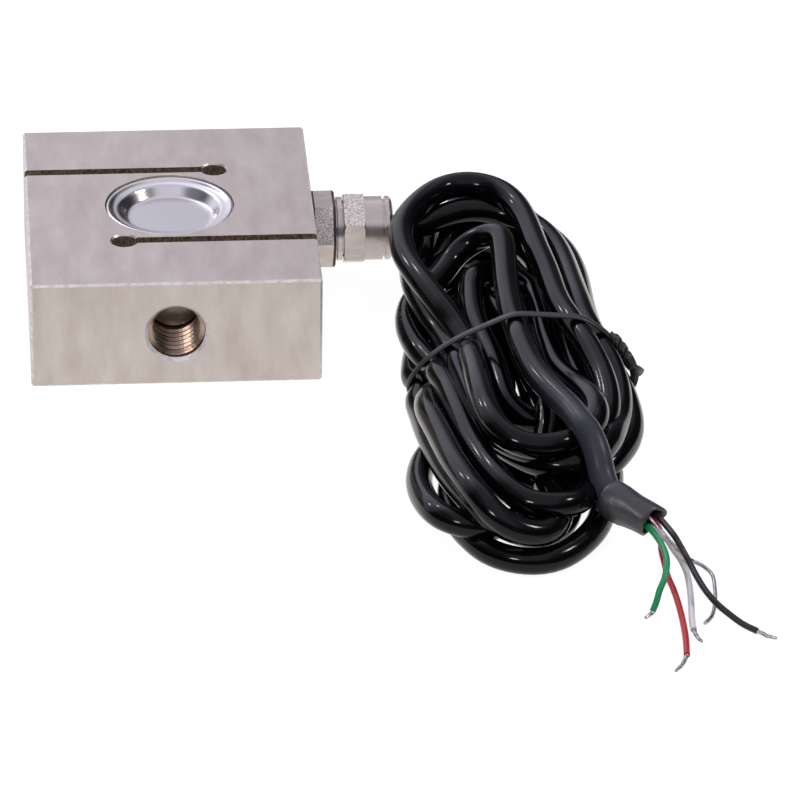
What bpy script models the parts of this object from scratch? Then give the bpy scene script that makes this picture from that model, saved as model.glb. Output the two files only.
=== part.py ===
"""S-type load cell lying on its broad face, with its gland and a cable tied in a hank.

Metres, +Z up. The load axis of the beam runs along Y and the cable leaves along +X.
The origin is on the resting surface, under the middle of the beam and its gland.
The rigid pieces hang from an empty in the middle of the beam's footprint, and the free
cable from another below the gland's mouth, so that it stays with the gland.
"""
import math

import bmesh
import bpy
from mathutils import Vector

# Gap left where two pieces touch, and how far a cutter runs past the face it opens.
fit_gap = 0.0003
overrun = 0.002

# Beam: a square block cut into an S by two slots that end in relief holes.
beam_width = 0.051
beam_length = 0.060
beam_height = 0.020
beam_edge_break = 0.0004
slot_width = 0.0021
slot_wall = 0.00095
relief_radius = 0.00225
relief_reach = 0.0085
relief_chamfer = 0.0003

# Tapped load holes in the two end faces, at mid height.
load_thread_radius = 0.005
load_thread_depth = 0.011
load_drill_radius = 0.00425
load_drill_point = 0.0026
load_countersink = 0.0006

# Gauge pockets: one from each broad face, with a thin web left between them.
window_radius = 0.0115
window_depth = 0.0012
pocket_radius = 0.009
web_thickness = 0.0024
web_hole_radius = 0.0012
web_hole_x = -0.0070

# Pressed window cups that close the pockets.
cup_sheet = 0.0003
cup_wall_clearance = 0.0004
cup_depth = 0.0018
cup_taper = 0.00095

# Cable port in the side face, drilled through to the pockets.
port_y = 0.0085
port_thread_depth = 0.0095
passage_radius = 0.0022
passage_end_x = 0.002

# Cable and its four cores.
cable_radius = 0.0023
core_radius = 0.0003
core_spacing = 0.00106
core_lead_in = 0.0016

# Gland lengths along its axis.
body_hex_length = 0.0042
neck_length = 0.0003
collar_length = 0.0009
gland_thread_length = 0.0051
grommet_length = 0.0037
thrust_washer_thickness = 0.0006
cap_hex_length = 0.0037
cap_end_wall = 0.0029
cap_groove_width = 0.0005
cap_lip_length = 0.0014
cap_lip_round = 0.0007
hex_chamfer = 0.0004
spigot_end_clearance = 0.0007
cable_end_depth = 0.0045

# Gland walls and clearances, from the cable outward.
gland_bore_clearance = 0.0004
spigot_wall = 0.0010
grommet_wall = 0.0010
seal_seat_wall = 0.0009
barrel_wall = 0.00065
groove_depth = 0.00055
hex_wall = 0.0009
hex_body_turn = math.radians(3.0)
hex_cap_turn = math.radians(27.0)

# Seal ring under the hexagon.
seal_ring_inset = 0.00045
seal_ring_section = 0.00055

# Strain gauges, terminal strips and trim resistors on the web.
gauge_length = 0.0042
gauge_width = 0.0028
gauge_thickness = 0.0002
gauge_spread = 0.0024
gauge_y = -0.0018
strip_thickness = 0.0008
upper_strip_length = 0.0100
upper_strip_width = 0.0034
upper_strip_centre = (-0.0010, 0.0042)
lower_strip_length = 0.0050
lower_strip_width = 0.0024
lower_strip_centre = (-0.0020, 0.0042)
resistor_size = (0.0012, 0.0020, 0.0006)
resistor_places = (-0.0048, -0.0029)
core_pads = (0.0030, 0.0018, 0.0002, -0.0012)
link_radius = 0.0003
link_spacing = 0.0009

# Hank of cable, lying beside the beam, and the twist tie round it.
tie_radius = 0.0008
tie_y = -0.0485
tie_tail = 0.0070
tie_leave_angle = math.radians(30.0)
tie_lap_angle = math.radians(25.0)
hank_base = 2 * tie_radius + 2 * fit_gap
hank_inset_limit = 0.8
hank_top = 0.0180
hank_shoulder = 0.0080
hank_foot = 0.0040

# Heat-shrink sleeve over the cut end of the cable.
sleeve_bore_clearance = 0.00035
sleeve_wall = 0.00055

# Lead wires that come out of the sleeve.
wire_radius = 0.00055
drain_radius = 0.00035
tip_radius = 0.00030

# Routes chosen by hand, as multiples of one millimetre.
route_unit = 0.001

# Cores: X from the beam's middle, Y and Z from the port's axis.
loom_route = (
    (8.0, 0.0, 0.0), (5.6, -0.3, 0.1), (4.3, -0.8, 0.9), (3.3, -1.4, 2.1), (2.5, -2.0, 3.3),
)

# Links: from the middle of the hole in the web.
link_route = (
    (1.6, 2.8, -2.1), (0.8, 1.6, -2.1), (0.1, 0.4, -1.8), (0.0, 0.0, -1.0),
    (0.0, 0.0, 1.2), (-0.1, 0.8, 2.0), (0.0, 2.6, 2.2),
)

# Cable: X and Y from the gland's mouth, Z from the surface.
hank_outline = (
    (3.0, -6.5), (3.0, 6.5), (7.6, 16.5), (16.6, 22.0), (25.6, 18.0),
    (32.1, 5.5), (36.6, -16.5), (39.0, -40.5), (39.4, -58.5), (36.6, -70.5),
    (30.2, -79.0), (26.2, -84.5), (22.6, -90.0), (20.1, -97.5), (16.1, -105.5),
    (9.6, -108.5), (3.1, -102.5), (0.2, -88.5), (0.0, -68.5), (0.4, -48.5),
    (1.8, -26.5),
)
hank_spine = ((17.0, 4.0), (19.5, -20.0), (19.7, -60.0), (11.0, -96.0))
sleeve_start = (29.2, -95.9, 8.2)
sleeve_end = (36.4, -101.0, 6.0)
tail_route = (
    (23.6, -89.7, 11.5), (25.6, -91.3, 10.9), (27.4, -93.5, 9.6), (28.9, -95.6, 8.4),
    (30.6, -96.9, 7.8),
)
green_route = (
    (30.2, -98.2, 7.2), (33.4, -100.5, 6.2), (35.6, -102.0, 5.6), (36.7, -107.4, 6.6),
    (37.4, -112.0, 6.9), (37.5, -115.7, 6.6), (36.9, -118.6, 5.4), (35.9, -120.4, 4.0),
    (35.3, -121.2, 2.2), (34.7, -121.7, 0.8),
)
drain_route = (
    (30.8, -98.0, 8.7), (34.0, -100.3, 7.7), (36.1, -101.8, 7.0), (38.8, -104.8, 4.8),
    (40.3, -106.4, 3.6), (41.9, -107.8, 2.6), (43.2, -107.8, 1.8), (44.7, -108.7, 1.3),
    (45.8, -110.9, 1.0), (45.8, -114.8, 0.8), (45.3, -119.6, 0.8), (44.3, -123.8, 0.8),
    (42.9, -126.0, 0.8),
)
black_route = (
    (31.7, -96.8, 8.7), (34.9, -99.0, 7.7), (37.1, -100.5, 7.1), (39.2, -108.0, 7.6),
    (40.4, -110.6, 6.4), (41.6, -112.9, 4.8), (42.5, -116.6, 4.1), (43.6, -120.2, 3.5),
    (45.0, -123.2, 2.9), (46.9, -125.3, 2.0), (49.0, -127.3, 1.2), (51.2, -129.0, 0.8),
)
red_route = (
    (31.7, -96.1, 7.2), (34.9, -98.4, 6.2), (37.0, -99.9, 5.6), (38.4, -99.3, 2.4),
    (38.2, -101.9, 1.2), (38.3, -105.8, 0.8), (38.4, -110.5, 0.8), (38.9, -115.1, 0.8),
    (39.2, -120.0, 0.8), (39.3, -125.2, 0.8), (39.2, -130.6, 0.8), (38.8, -136.0, 0.8),
)
white_route = (
    (30.8, -97.1, 6.3), (34.0, -99.3, 5.3), (36.1, -100.8, 4.7), (38.6, -102.0, 3.6),
    (39.9, -104.3, 2.4), (41.0, -106.7, 1.6), (41.6, -110.3, 1.2), (41.6, -114.9, 1.0),
    (41.3, -119.8, 0.8), (40.9, -124.6, 0.8), (40.8, -128.1, 0.8),
)
tip_routes = {
    "green": ((34.6, -122.1, 0.7), (34.0, -122.7, 0.6), (33.3, -123.4, 0.5)),
    "black": ((51.6, -129.2, 0.7), (52.8, -130.2, 0.5), (54.2, -130.9, 0.5)),
    "red": ((38.6, -136.5, 0.7), (37.8, -138.4, 0.5), (36.5, -140.4, 0.5)),
    "white": ((40.9, -128.6, 0.7), (41.2, -129.9, 0.5), (41.8, -131.4, 0.5)),
}

# Worked out from the sizes above.
mid_height = beam_height / 2
side_face_x = beam_width / 2
slot_offset = window_radius + slot_wall + slot_width / 2
cable_bore_radius = cable_radius + gland_bore_clearance
port_thread_radius = cable_bore_radius + spigot_wall + fit_gap
seal_ring_radius = port_thread_radius + seal_ring_inset + seal_ring_section
seal_seat_radius = cable_radius + 2 * fit_gap + grommet_wall
gland_thread_radius = seal_seat_radius + seal_seat_wall
cap_bore_radius = gland_thread_radius + fit_gap
collar_radius = cap_bore_radius + barrel_wall
neck_radius = collar_radius - groove_depth
hex_flat_radius = cap_bore_radius + hex_wall
thrust_washer_radius = gland_thread_radius - fit_gap

# Gland stations, counted outward from the beam's side face.
body_hex_end = fit_gap + body_hex_length
body_neck_end = body_hex_end + neck_length
body_collar_end = body_neck_end + collar_length
body_thread_end = body_collar_end + gland_thread_length
seal_seat_start = body_thread_end - grommet_length - fit_gap
cap_start = body_collar_end + fit_gap
cap_hex_end = cap_start + cap_hex_length
cap_bore_end = body_thread_end + thrust_washer_thickness + 2 * fit_gap
cap_end = cap_bore_end + cap_end_wall
cap_groove_end = cap_end - cap_lip_length
cap_barrel_end = cap_groove_end - cap_groove_width
spigot_length = port_thread_depth - spigot_end_clearance
beam_shift_x = -cap_end / 2

# Web faces and the seal ring's groove.
web_top = mid_height + web_thickness / 2
web_bottom = mid_height - web_thickness / 2
seal_groove_depth = 2 * fit_gap + 2 * seal_ring_section


def remove_everything():
    for item in list(bpy.data.objects):
        bpy.data.objects.remove(item, do_unlink=True)
    for group in list(bpy.data.collections):
        bpy.data.collections.remove(group)


def new_collection(name):
    group = bpy.data.collections.new(name)
    bpy.context.scene.collection.children.link(group)
    return group


def new_material(name, colour, roughness, metallic=0.0):
    material = bpy.data.materials.new(name)
    material.use_nodes = True
    shader = material.node_tree.nodes["Principled BSDF"]
    shader.inputs["Base Color"].default_value = (*colour, 1.0)
    shader.inputs["Roughness"].default_value = roughness
    shader.inputs["Metallic"].default_value = metallic
    return material


def new_empty(name, place, parent=None):
    empty = bpy.data.objects.new(name, None)
    empty.location = place
    empty.parent = parent
    parts_group.objects.link(empty)
    return empty


def add_part(name, data, material, parent=None):
    """A piece of the load cell, hung from the beam's empty or from the one given."""
    part = bpy.data.objects.new(name, data)
    parts_group.objects.link(part)
    part.parent = parent or beam_empty
    data.materials.append(material)
    return part


def add_cutter(name, data):
    """A tool that a Boolean uses: never rendered and never built."""
    cutter = bpy.data.objects.new(name, data)
    cutters_group.objects.link(cutter)
    cutter.parent = beam_empty
    cutter.hide_render = True
    cutter.display_type = "WIRE"
    return cutter


def box_mesh(name, size):
    builder = bmesh.new()
    bmesh.ops.create_cube(builder, size=1.0)
    bmesh.ops.scale(builder, vec=Vector(size), verts=builder.verts)
    data = bpy.data.meshes.new(name)
    builder.to_mesh(data)
    builder.free()
    return data


def prism_mesh(name, radius, height, sides, turn=0.0):
    """A prism or cylinder that stands on the XY plane."""
    builder = bmesh.new()
    bmesh.ops.create_cone(
        builder, cap_ends=True, segments=sides, radius1=radius, radius2=radius, depth=height
    )
    bmesh.ops.translate(builder, vec=(0.0, 0.0, height / 2), verts=builder.verts)
    for vert in builder.verts:
        x, y = vert.co.x, vert.co.y
        vert.co.x = x * math.cos(turn) - y * math.sin(turn)
        vert.co.y = x * math.sin(turn) + y * math.cos(turn)
    data = bpy.data.meshes.new(name)
    builder.to_mesh(data)
    builder.free()
    return data


def profile_mesh(name, profile, closed):
    """The edges of a turned outline, as (radius, height) from the top down its outer side."""
    count = len(profile)
    edges = [(i, i + 1) for i in range(count - 1)]
    if closed:
        edges.append((count - 1, 0))
    data = bpy.data.meshes.new(name)
    data.from_pydata([(r, 0.0, z) for r, z in profile], edges, [])
    return data


def spin(target, steps=48):
    """Turns a profile about its own Z axis."""
    turn = target.modifiers.new("turn", "SCREW")
    turn.axis = "Z"
    turn.angle = 2 * math.pi
    turn.steps = steps
    turn.render_steps = steps
    turn.use_merge_vertices = True
    turn.merge_threshold = 0.00001
    turn.use_smooth_shade = True
    return target


def combine(target, other, operation):
    join = target.modifiers.new(operation.lower(), "BOOLEAN")
    join.operation = operation
    join.object = other
    join.solver = "EXACT"


def aim(target, place, direction):
    """Puts the piece's own Z axis along a direction from a place."""
    target.location = place
    target.rotation_mode = "QUATERNION"
    target.rotation_quaternion = Vector(direction).to_track_quat("Z", "Y")


def in_metres(points):
    return [Vector(point) * route_unit for point in points]


def smooth_route(points, steps, closed=False):
    """Points along a smooth curve through the chosen ones."""
    count = len(points)
    result = []
    for i in range(count if closed else count - 1):
        if closed:
            a, b, c, d = (points[(i + k) % count] for k in (-1, 0, 1, 2))
        else:
            b, c = points[i], points[i + 1]
            a = points[i - 1] if i > 0 else 2 * b - c
            d = points[i + 2] if i + 2 < count else 2 * c - b
        for k in range(steps):
            t = k / steps
            result.append(
                0.5 * (2 * b + (c - a) * t + (2 * a - 5 * b + 4 * c - d) * t**2
                       + (3 * b - a - 3 * c + d) * t**3)
            )
    if not closed:
        result.append(points[-1].copy())
    return result


def tube(name, points, radius, material, resolution=2, parent=None):
    """A round rod along a row of points, with filled ends."""
    curve = bpy.data.curves.new(name, "CURVE")
    curve.dimensions = "3D"
    curve.bevel_depth = radius
    curve.bevel_resolution = resolution
    curve.use_fill_caps = True
    spline = curve.splines.new("POLY")
    spline.points.add(len(points) - 1)
    for knot, point in zip(spline.points, points):
        knot.co = (*point, 1.0)
    return add_part(name, curve, material, parent)


def make_beam(material):
    """The S beam: a block with slots, relief holes, tapped ends, pockets and cable port."""
    beam = add_part("s_beam_body", box_mesh("s_beam_body", (beam_width, beam_length, beam_height)), material)
    beam.location = (0.0, 0.0, mid_height)
    edges = beam.modifiers.new("edge_break", "BEVEL")
    edges.width = beam_edge_break
    edges.segments = 1
    for side, end in ((1, "back"), (-1, "front")):
        cut_slot(beam, side, end)
        cut_load_hole(beam, side, end)
    for side, face in ((1, "upper"), (-1, "lower")):
        cut_pocket(beam, side, face)
    cut_port(beam)
    return beam


def cut_slot(beam, side, end):
    slot_length = relief_reach + side_face_x + overrun
    slot = add_cutter(
        f"{end}_slot_cutter", box_mesh("slot", (slot_length, slot_width, beam_height + 2 * overrun))
    )
    slot.location = (side * (relief_reach - slot_length / 2), side * slot_offset, mid_height)
    combine(beam, slot, "DIFFERENCE")
    bevel_radius = relief_radius + relief_chamfer
    relief = add_cutter(
        f"{end}_relief_cutter",
        profile_mesh(
            "relief",
            (
                (0.0, beam_height + overrun),
                (bevel_radius + overrun, beam_height + overrun),
                (relief_radius, beam_height - relief_chamfer),
                (relief_radius, relief_chamfer),
                (bevel_radius + overrun, -overrun),
                (0.0, -overrun),
            ),
            closed=False,
        ),
    )
    relief.location = (side * relief_reach, side * slot_offset, 0.0)
    combine(beam, spin(relief, 32), "DIFFERENCE")


def cut_load_hole(beam, side, end):
    """Countersink, threaded bore at its nominal size, drill and its point."""
    face_y = beam_length / 2
    mouth = load_thread_radius + load_countersink
    hole = add_cutter(
        f"{end}_load_hole_cutter",
        profile_mesh(
            "load_hole",
            (
                (0.0, overrun),
                (mouth + overrun, overrun),
                (load_thread_radius, -load_countersink),
                (load_thread_radius, -load_thread_depth),
                (load_drill_radius, -load_thread_depth),
                (0.0, -load_thread_depth - load_drill_point),
            ),
            closed=False,
        ),
    )
    aim(hole, (0.0, side * face_y, mid_height), (0.0, side, 0.0))
    combine(beam, spin(hole), "DIFFERENCE")


def cut_pocket(beam, side, face):
    """Counterbore for the cup and the deep pocket down to the web."""
    pocket_floor = mid_height - web_thickness / 2
    pocket = add_cutter(
        f"{face}_pocket_cutter",
        profile_mesh(
            "pocket",
            (
                (0.0, overrun),
                (window_radius, overrun),
                (window_radius, -window_depth),
                (pocket_radius, -window_depth),
                (pocket_radius, -pocket_floor),
                (0.0, -pocket_floor),
            ),
            closed=False,
        ),
    )
    aim(pocket, (0.0, 0.0, mid_height + side * mid_height), (0.0, 0.0, side))
    combine(beam, spin(pocket, 64), "DIFFERENCE")


def cut_port(beam):
    """Tapped port for the gland, wire passage to the pockets, and the hole in the web."""
    port = add_cutter(
        "cable_port_cutter",
        profile_mesh(
            "port",
            (
                (0.0, overrun),
                (port_thread_radius, overrun),
                (port_thread_radius, -port_thread_depth),
                (passage_radius, -port_thread_depth),
                (passage_radius, passage_end_x - side_face_x),
                (0.0, passage_end_x - side_face_x),
            ),
            closed=False,
        ),
    )
    aim(port, (side_face_x, port_y, mid_height), (1.0, 0.0, 0.0))
    combine(beam, spin(port, 32), "DIFFERENCE")
    web_hole = add_cutter(
        "web_hole_cutter", prism_mesh("web_hole", web_hole_radius, web_thickness + 2 * overrun, 20)
    )
    web_hole.location = (web_hole_x, 0.0, web_bottom - overrun)
    combine(beam, web_hole, "DIFFERENCE")


def make_window_cup(name, side, material):
    """A pressed sheet cup: flat flange, sloping wall and flat bottom."""
    flange = window_radius - fit_gap
    mouth = pocket_radius - cup_wall_clearance
    floor_edge = mouth - cup_taper
    seat = -window_depth + fit_gap
    face = seat + cup_sheet
    slant = cup_sheet * 0.8
    cup = add_part(
        name,
        profile_mesh(
            name,
            (
                (0.0, face - cup_depth),
                (floor_edge - slant, face - cup_depth),
                (mouth - slant, face),
                (flange, face),
                (flange, seat),
                (mouth, seat),
                (floor_edge, seat - cup_depth),
                (0.0, seat - cup_depth),
            ),
            closed=False,
        ),
        material,
    )
    aim(cup, (0.0, 0.0, mid_height + side * mid_height), (0.0, 0.0, side))
    return spin(cup, 64)


def make_gauges(material):
    """Four foil gauges at 45 degrees, two on each face of the web."""
    upper = web_top + fit_gap + gauge_thickness / 2
    lower = web_bottom - fit_gap - gauge_thickness / 2
    for height, face in ((upper, "upper"), (lower, "lower")):
        for side, hand in ((-1, "left"), (1, "right")):
            gauge = add_part(
                f"strain_gauge_{face}_{hand}",
                box_mesh("gauge", (gauge_length, gauge_width, gauge_thickness)),
                material,
            )
            gauge.location = (side * gauge_spread, gauge_y, height)
            gauge.rotation_euler = (0.0, 0.0, side * math.radians(45.0))


def make_terminal_strips(board, ceramic):
    """Solder strips on both faces of the web, with two trim resistors on the upper one."""
    upper = add_part(
        "terminal_strip_upper",
        box_mesh("strip", (upper_strip_length, upper_strip_width, strip_thickness)),
        board,
    )
    upper.location = (*upper_strip_centre, web_top + fit_gap + strip_thickness / 2)
    lower = add_part(
        "terminal_strip_lower",
        box_mesh("strip", (lower_strip_length, lower_strip_width, strip_thickness)),
        board,
    )
    lower.location = (*lower_strip_centre, web_bottom - fit_gap - strip_thickness / 2)
    strip_top = web_top + fit_gap + strip_thickness
    for number, x in enumerate(resistor_places, start=1):
        resistor = add_part(f"trim_resistor_{number}", box_mesh("resistor", resistor_size), ceramic)
        resistor.location = (x, upper_strip_centre[1], strip_top + fit_gap + resistor_size[2] / 2)


def make_inner_leads(materials):
    """Cores from the cable's end to the upper strip, and links through the web."""
    strip_top = web_top + fit_gap + strip_thickness
    pad_height = strip_top + fit_gap + core_radius
    port_axis = Vector((0.0, port_y, mid_height))
    loom = [
        port_axis + Vector((side_face_x - cable_end_depth - fit_gap, 0.0, 0.0)),
        port_axis + Vector((side_face_x - port_thread_depth, 0.0, 0.0)),
    ]
    loom += [port_axis + point for point in in_metres(loom_route)]
    corners = {"black": (-1, -1), "red": (1, -1), "green": (-1, 1), "white": (1, 1)}
    for (name, (across, up)), pad_x in zip(corners.items(), core_pads):
        offset = Vector((0.0, across * core_spacing / 2, up * core_spacing / 2))
        route = [point + offset for point in loom]
        lift = max(up, 0) * core_spacing / 2
        route.append(Vector((pad_x, upper_strip_centre[1] + core_lead_in, pad_height + lift)))
        route.append(Vector((pad_x, upper_strip_centre[1], pad_height)))
        tube(f"core_lead_{name}", smooth_route(route, 2), core_radius, materials[name])
    for side, hand in ((-1, "left"), (1, "right")):
        shift = Vector((web_hole_x + side * link_spacing / 2, 0.0, mid_height))
        route = [point + shift for point in in_metres(link_route)]
        tube(f"link_lead_{hand}", smooth_route(route, 2), link_radius, materials["link"])


def hexagon(name, start, end, turn):
    """A hexagon bar along the gland's axis, its ends turned down at the corners."""
    corner = hex_flat_radius / math.cos(math.pi / 6)
    bar = prism_mesh(name, corner, end - start, 6, turn)
    rim = corner - hex_chamfer * 2.2
    blank = add_cutter(
        f"{name}_turning",
        profile_mesh(
            name,
            (
                (0.0, end + fit_gap),
                (rim, end + fit_gap),
                (corner + fit_gap, end - hex_chamfer),
                (corner + fit_gap, start + hex_chamfer),
                (rim, start - fit_gap),
                (0.0, start - fit_gap),
            ),
            closed=False,
        ),
    )
    aim_gland(blank)
    return bar, spin(blank, 48)


def aim_gland(target, station=0.0):
    """Puts a turned piece on the gland's axis, its stations counted from the side face."""
    aim(target, (side_face_x + station, port_y, mid_height), (1.0, 0.0, 0.0))
    return target


def gland_cutter(name, profile, closed=False):
    cutter = add_cutter(name, profile_mesh(name, profile, closed))
    return spin(aim_gland(cutter))


def make_gland_body(material):
    """Hexagon, collar and threads in one turned piece, bored for the cable."""
    start = fit_gap
    bar, blank = hexagon("body_hexagon", start, body_hex_end, hex_body_turn)
    body = add_part("gland_body", bar, material)
    aim_gland(body, start)
    combine(body, blank, "INTERSECT")
    spigot_radius = port_thread_radius - fit_gap
    turned = gland_cutter(
        "gland_body_turning",
        (
            (0.0, body_thread_end),
            (gland_thread_radius - fit_gap, body_thread_end),
            (gland_thread_radius, body_thread_end - fit_gap),
            (gland_thread_radius, body_collar_end),
            (collar_radius, body_collar_end),
            (collar_radius, body_neck_end),
            (neck_radius, body_neck_end),
            (neck_radius, body_hex_end - fit_gap),
            (spigot_radius, body_hex_end - 2 * fit_gap),
            (spigot_radius, -spigot_length),
            (0.0, -spigot_length),
        ),
    )
    combine(body, turned, "UNION")
    bore = gland_cutter(
        "gland_body_bore",
        (
            (0.0, body_thread_end + overrun),
            (seal_seat_radius, body_thread_end + overrun),
            (seal_seat_radius, seal_seat_start),
            (cable_bore_radius, seal_seat_start),
            (cable_bore_radius, -spigot_length - overrun),
            (0.0, -spigot_length - overrun),
        ),
    )
    combine(body, bore, "DIFFERENCE")
    groove_half = seal_ring_section + fit_gap
    groove = gland_cutter(
        "seal_ring_groove",
        (
            (seal_ring_radius + groove_half, seal_groove_depth),
            (seal_ring_radius + groove_half, -overrun),
            (seal_ring_radius - groove_half, -overrun),
            (seal_ring_radius - groove_half, seal_groove_depth),
        ),
        closed=True,
    )
    combine(body, groove, "DIFFERENCE")


def make_gland_cap(material):
    """Cap nut: hexagon, plain barrel, groove and rolled lip, threaded inside."""
    bar, blank = hexagon("cap_hexagon", cap_start, cap_hex_end, hex_cap_turn)
    cap = add_part("gland_cap_nut", bar, material)
    aim_gland(cap, cap_start)
    combine(cap, blank, "INTERSECT")
    lip = cap_lip_round
    turned = gland_cutter(
        "gland_cap_turning",
        (
            (0.0, cap_end),
            (collar_radius - 1.6 * lip, cap_end),
            (collar_radius - 0.6 * lip, cap_end - 0.3 * lip),
            (collar_radius, cap_end - lip),
            (collar_radius, cap_groove_end),
            (neck_radius, cap_groove_end),
            (neck_radius, cap_barrel_end),
            (collar_radius, cap_barrel_end),
            (collar_radius, cap_hex_end - fit_gap),
            (0.0, cap_hex_end - fit_gap),
        ),
    )
    combine(cap, turned, "UNION")
    outlet = cable_radius + fit_gap
    bore = gland_cutter(
        "gland_cap_bore",
        (
            (0.0, cap_end + overrun),
            (outlet + lip + overrun, cap_end + overrun),
            (outlet, cap_end - lip),
            (outlet, cap_bore_end),
            (cap_bore_radius, cap_bore_end),
            (cap_bore_radius, cap_start - overrun),
            (0.0, cap_start - overrun),
        ),
    )
    combine(cap, bore, "DIFFERENCE")


def gland_ring(name, profile, material):
    ring = add_part(name, profile_mesh(name, profile, True), material)
    return spin(aim_gland(ring), 32)


def make_gland_seals(rubber, metal):
    """Seal ring under the hexagon, cable grommet and thrust washer."""
    ring_station = fit_gap + seal_ring_section
    section = [
        (
            seal_ring_radius + seal_ring_section * math.cos(math.radians(90.0 - 45.0 * k)),
            ring_station + seal_ring_section * math.sin(math.radians(90.0 - 45.0 * k)),
        )
        for k in range(8)
    ]
    gland_ring("gland_seal_ring", section, rubber)
    inner = cable_radius + fit_gap
    outer = seal_seat_radius - fit_gap
    grommet_start = seal_seat_start + fit_gap
    gland_ring(
        "gland_grommet",
        (
            (outer, body_thread_end),
            (outer, grommet_start),
            (inner, grommet_start),
            (inner, body_thread_end),
        ),
        rubber,
    )
    washer_start = body_thread_end + fit_gap
    washer_end = washer_start + thrust_washer_thickness
    gland_ring(
        "gland_thrust_washer",
        (
            (thrust_washer_radius, washer_end),
            (thrust_washer_radius, washer_start),
            (inner, washer_start),
            (inner, washer_end),
        ),
        metal,
    )


def make_cable(jacket):
    """The jacketed run inside the gland, the way out to the hank, and the tail."""
    inner_start = side_face_x - cable_end_depth
    inner_end = side_face_x + cap_end - fit_gap
    tube(
        "cable_gland_run",
        [Vector((x, port_y, mid_height)) for x in (inner_start, inner_end)],
        cable_radius,
        jacket,
        4,
    )
    hank_side = hank_outline[0][0] * route_unit
    tube(
        "cable_lead_out",
        [Vector((x, 0.0, mid_height)) for x in (0.0, hank_side - fit_gap)],
        cable_radius,
        jacket,
        4,
        cable_empty,
    )
    tail = smooth_route(in_metres(tail_route), 3)
    tube("cable_tail", tail, cable_radius, jacket, 4, cable_empty)


def nearest_on_spine(place):
    """The place on the hank's spine that is nearest to a place of its outline."""
    spine = in_metres(hank_spine)
    found = []
    for start, end in zip(spine, spine[1:]):
        run = end - start
        part = min(max((place - start).dot(run) / run.length_squared, 0.0), 1.0)
        found.append(start + run * part)
    return min(found, key=lambda spot: (spot - place).length)


def hank_ring(outline, inset, z):
    """The outline at one height, drawn in towards the spine."""
    ring = []
    for place in outline:
        inward = nearest_on_spine(place) - place
        kept = min(inset, hank_inset_limit * inward.length)
        drawn = place + inward.normalized() * kept
        ring.append((drawn.x, drawn.y, z))
    return ring


def make_hank(jacket):
    """One solid of the hank's outer shape: round shoulders above, a smaller rounding below."""
    outline = smooth_route(in_metres(hank_outline), 3, closed=True)
    levels = []
    for angle in (0, 45, 90):
        turn = math.radians(angle)
        inset = hank_foot * (1 - math.sin(turn))
        levels.append((inset, hank_base + hank_foot * (1 - math.cos(turn))))
    for angle in (0, 30, 60, 90):
        turn = math.radians(angle)
        inset = hank_shoulder * (1 - math.cos(turn))
        levels.append((inset, hank_top - hank_shoulder * (1 - math.sin(turn))))
    data = bpy.data.meshes.new("cable_hank")
    shape = bmesh.new()
    rows = []
    for inset, z in levels:
        rows.append([shape.verts.new(place) for place in hank_ring(outline, inset, z)])
    for lower, upper in zip(rows, rows[1:]):
        for k, corner in enumerate(lower):
            following = (k + 1) % len(lower)
            shape.faces.new((corner, lower[following], upper[following], upper[k]))
    shape.faces.new(rows[0][::-1])
    shape.faces.new(rows[-1])
    bmesh.ops.recalc_face_normals(shape, faces=shape.faces)
    shape.to_mesh(data)
    shape.free()
    add_part("cable_hank", data, jacket, cable_empty)
    return outline


def hank_sides_at(outline, y):
    """Where the hank's outline crosses a line of constant Y."""
    crossings = []
    for a, b in zip(outline, outline[1:] + outline[:1]):
        if (a.y - y) * (b.y - y) < 0:
            crossings.append(a.x + (b.x - a.x) * (y - a.y) / (b.y - a.y))
    return min(crossings), max(crossings)


def make_twist_tie(outline, plastic):
    """A tie round the hank's section, lapped on its right shoulder, with one free tail."""
    stand_off = fit_gap + tie_radius
    left, right = hank_sides_at(outline, tie_y)
    shoulder = hank_shoulder + stand_off
    foot = hank_foot + stand_off
    shoulder_z = hank_top - hank_shoulder
    foot_z = hank_base + hank_foot
    leave = tie_leave_angle
    lap = tie_lap_angle
    arcs = (
        (right - hank_shoulder, shoulder_z, shoulder, leave, math.pi / 2),
        (left + hank_shoulder, shoulder_z, shoulder, math.pi / 2, math.pi),
        (left + hank_foot, foot_z, foot, math.pi, 1.5 * math.pi),
        (right - hank_foot, foot_z, foot, 1.5 * math.pi, 2 * math.pi),
        (right - hank_shoulder, shoulder_z, shoulder, 2 * math.pi, 2 * math.pi + lap),
    )
    steps = 5
    track = []
    for x, z, corner, first, last in arcs:
        for k in range(steps + 1):
            angle = first + (last - first) * k / steps
            track.append((x + corner * math.cos(angle), z + corner * math.sin(angle)))
    tail_x = track[0][0] + tie_tail * math.sin(leave)
    tail_z = track[0][1] - tie_tail * math.cos(leave)
    track.insert(0, (tail_x, tail_z))
    side_step = 2 * tie_radius + fit_gap
    points = [
        Vector((x, tie_y + side_step * (k / (len(track) - 1) - 0.5), z))
        for k, (x, z) in enumerate(track)
    ]
    tube("twist_tie", points, tie_radius, plastic, parent=cable_empty)


def make_sleeve(material):
    """Heat-shrink sleeve over the end of the jacket."""
    start, end = in_metres((sleeve_start, sleeve_end))
    bore = cable_radius + sleeve_bore_clearance
    length = (end - start).length
    sleeve = add_part(
        "heat_shrink_sleeve",
        profile_mesh(
            "heat_shrink_sleeve",
            (
                (bore + sleeve_wall, length),
                (bore + sleeve_wall, 0.0),
                (bore, 0.0),
                (bore, length),
            ),
            closed=True,
        ),
        material,
        cable_empty,
    )
    aim(sleeve, start, end - start)
    spin(sleeve, 24)


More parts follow.
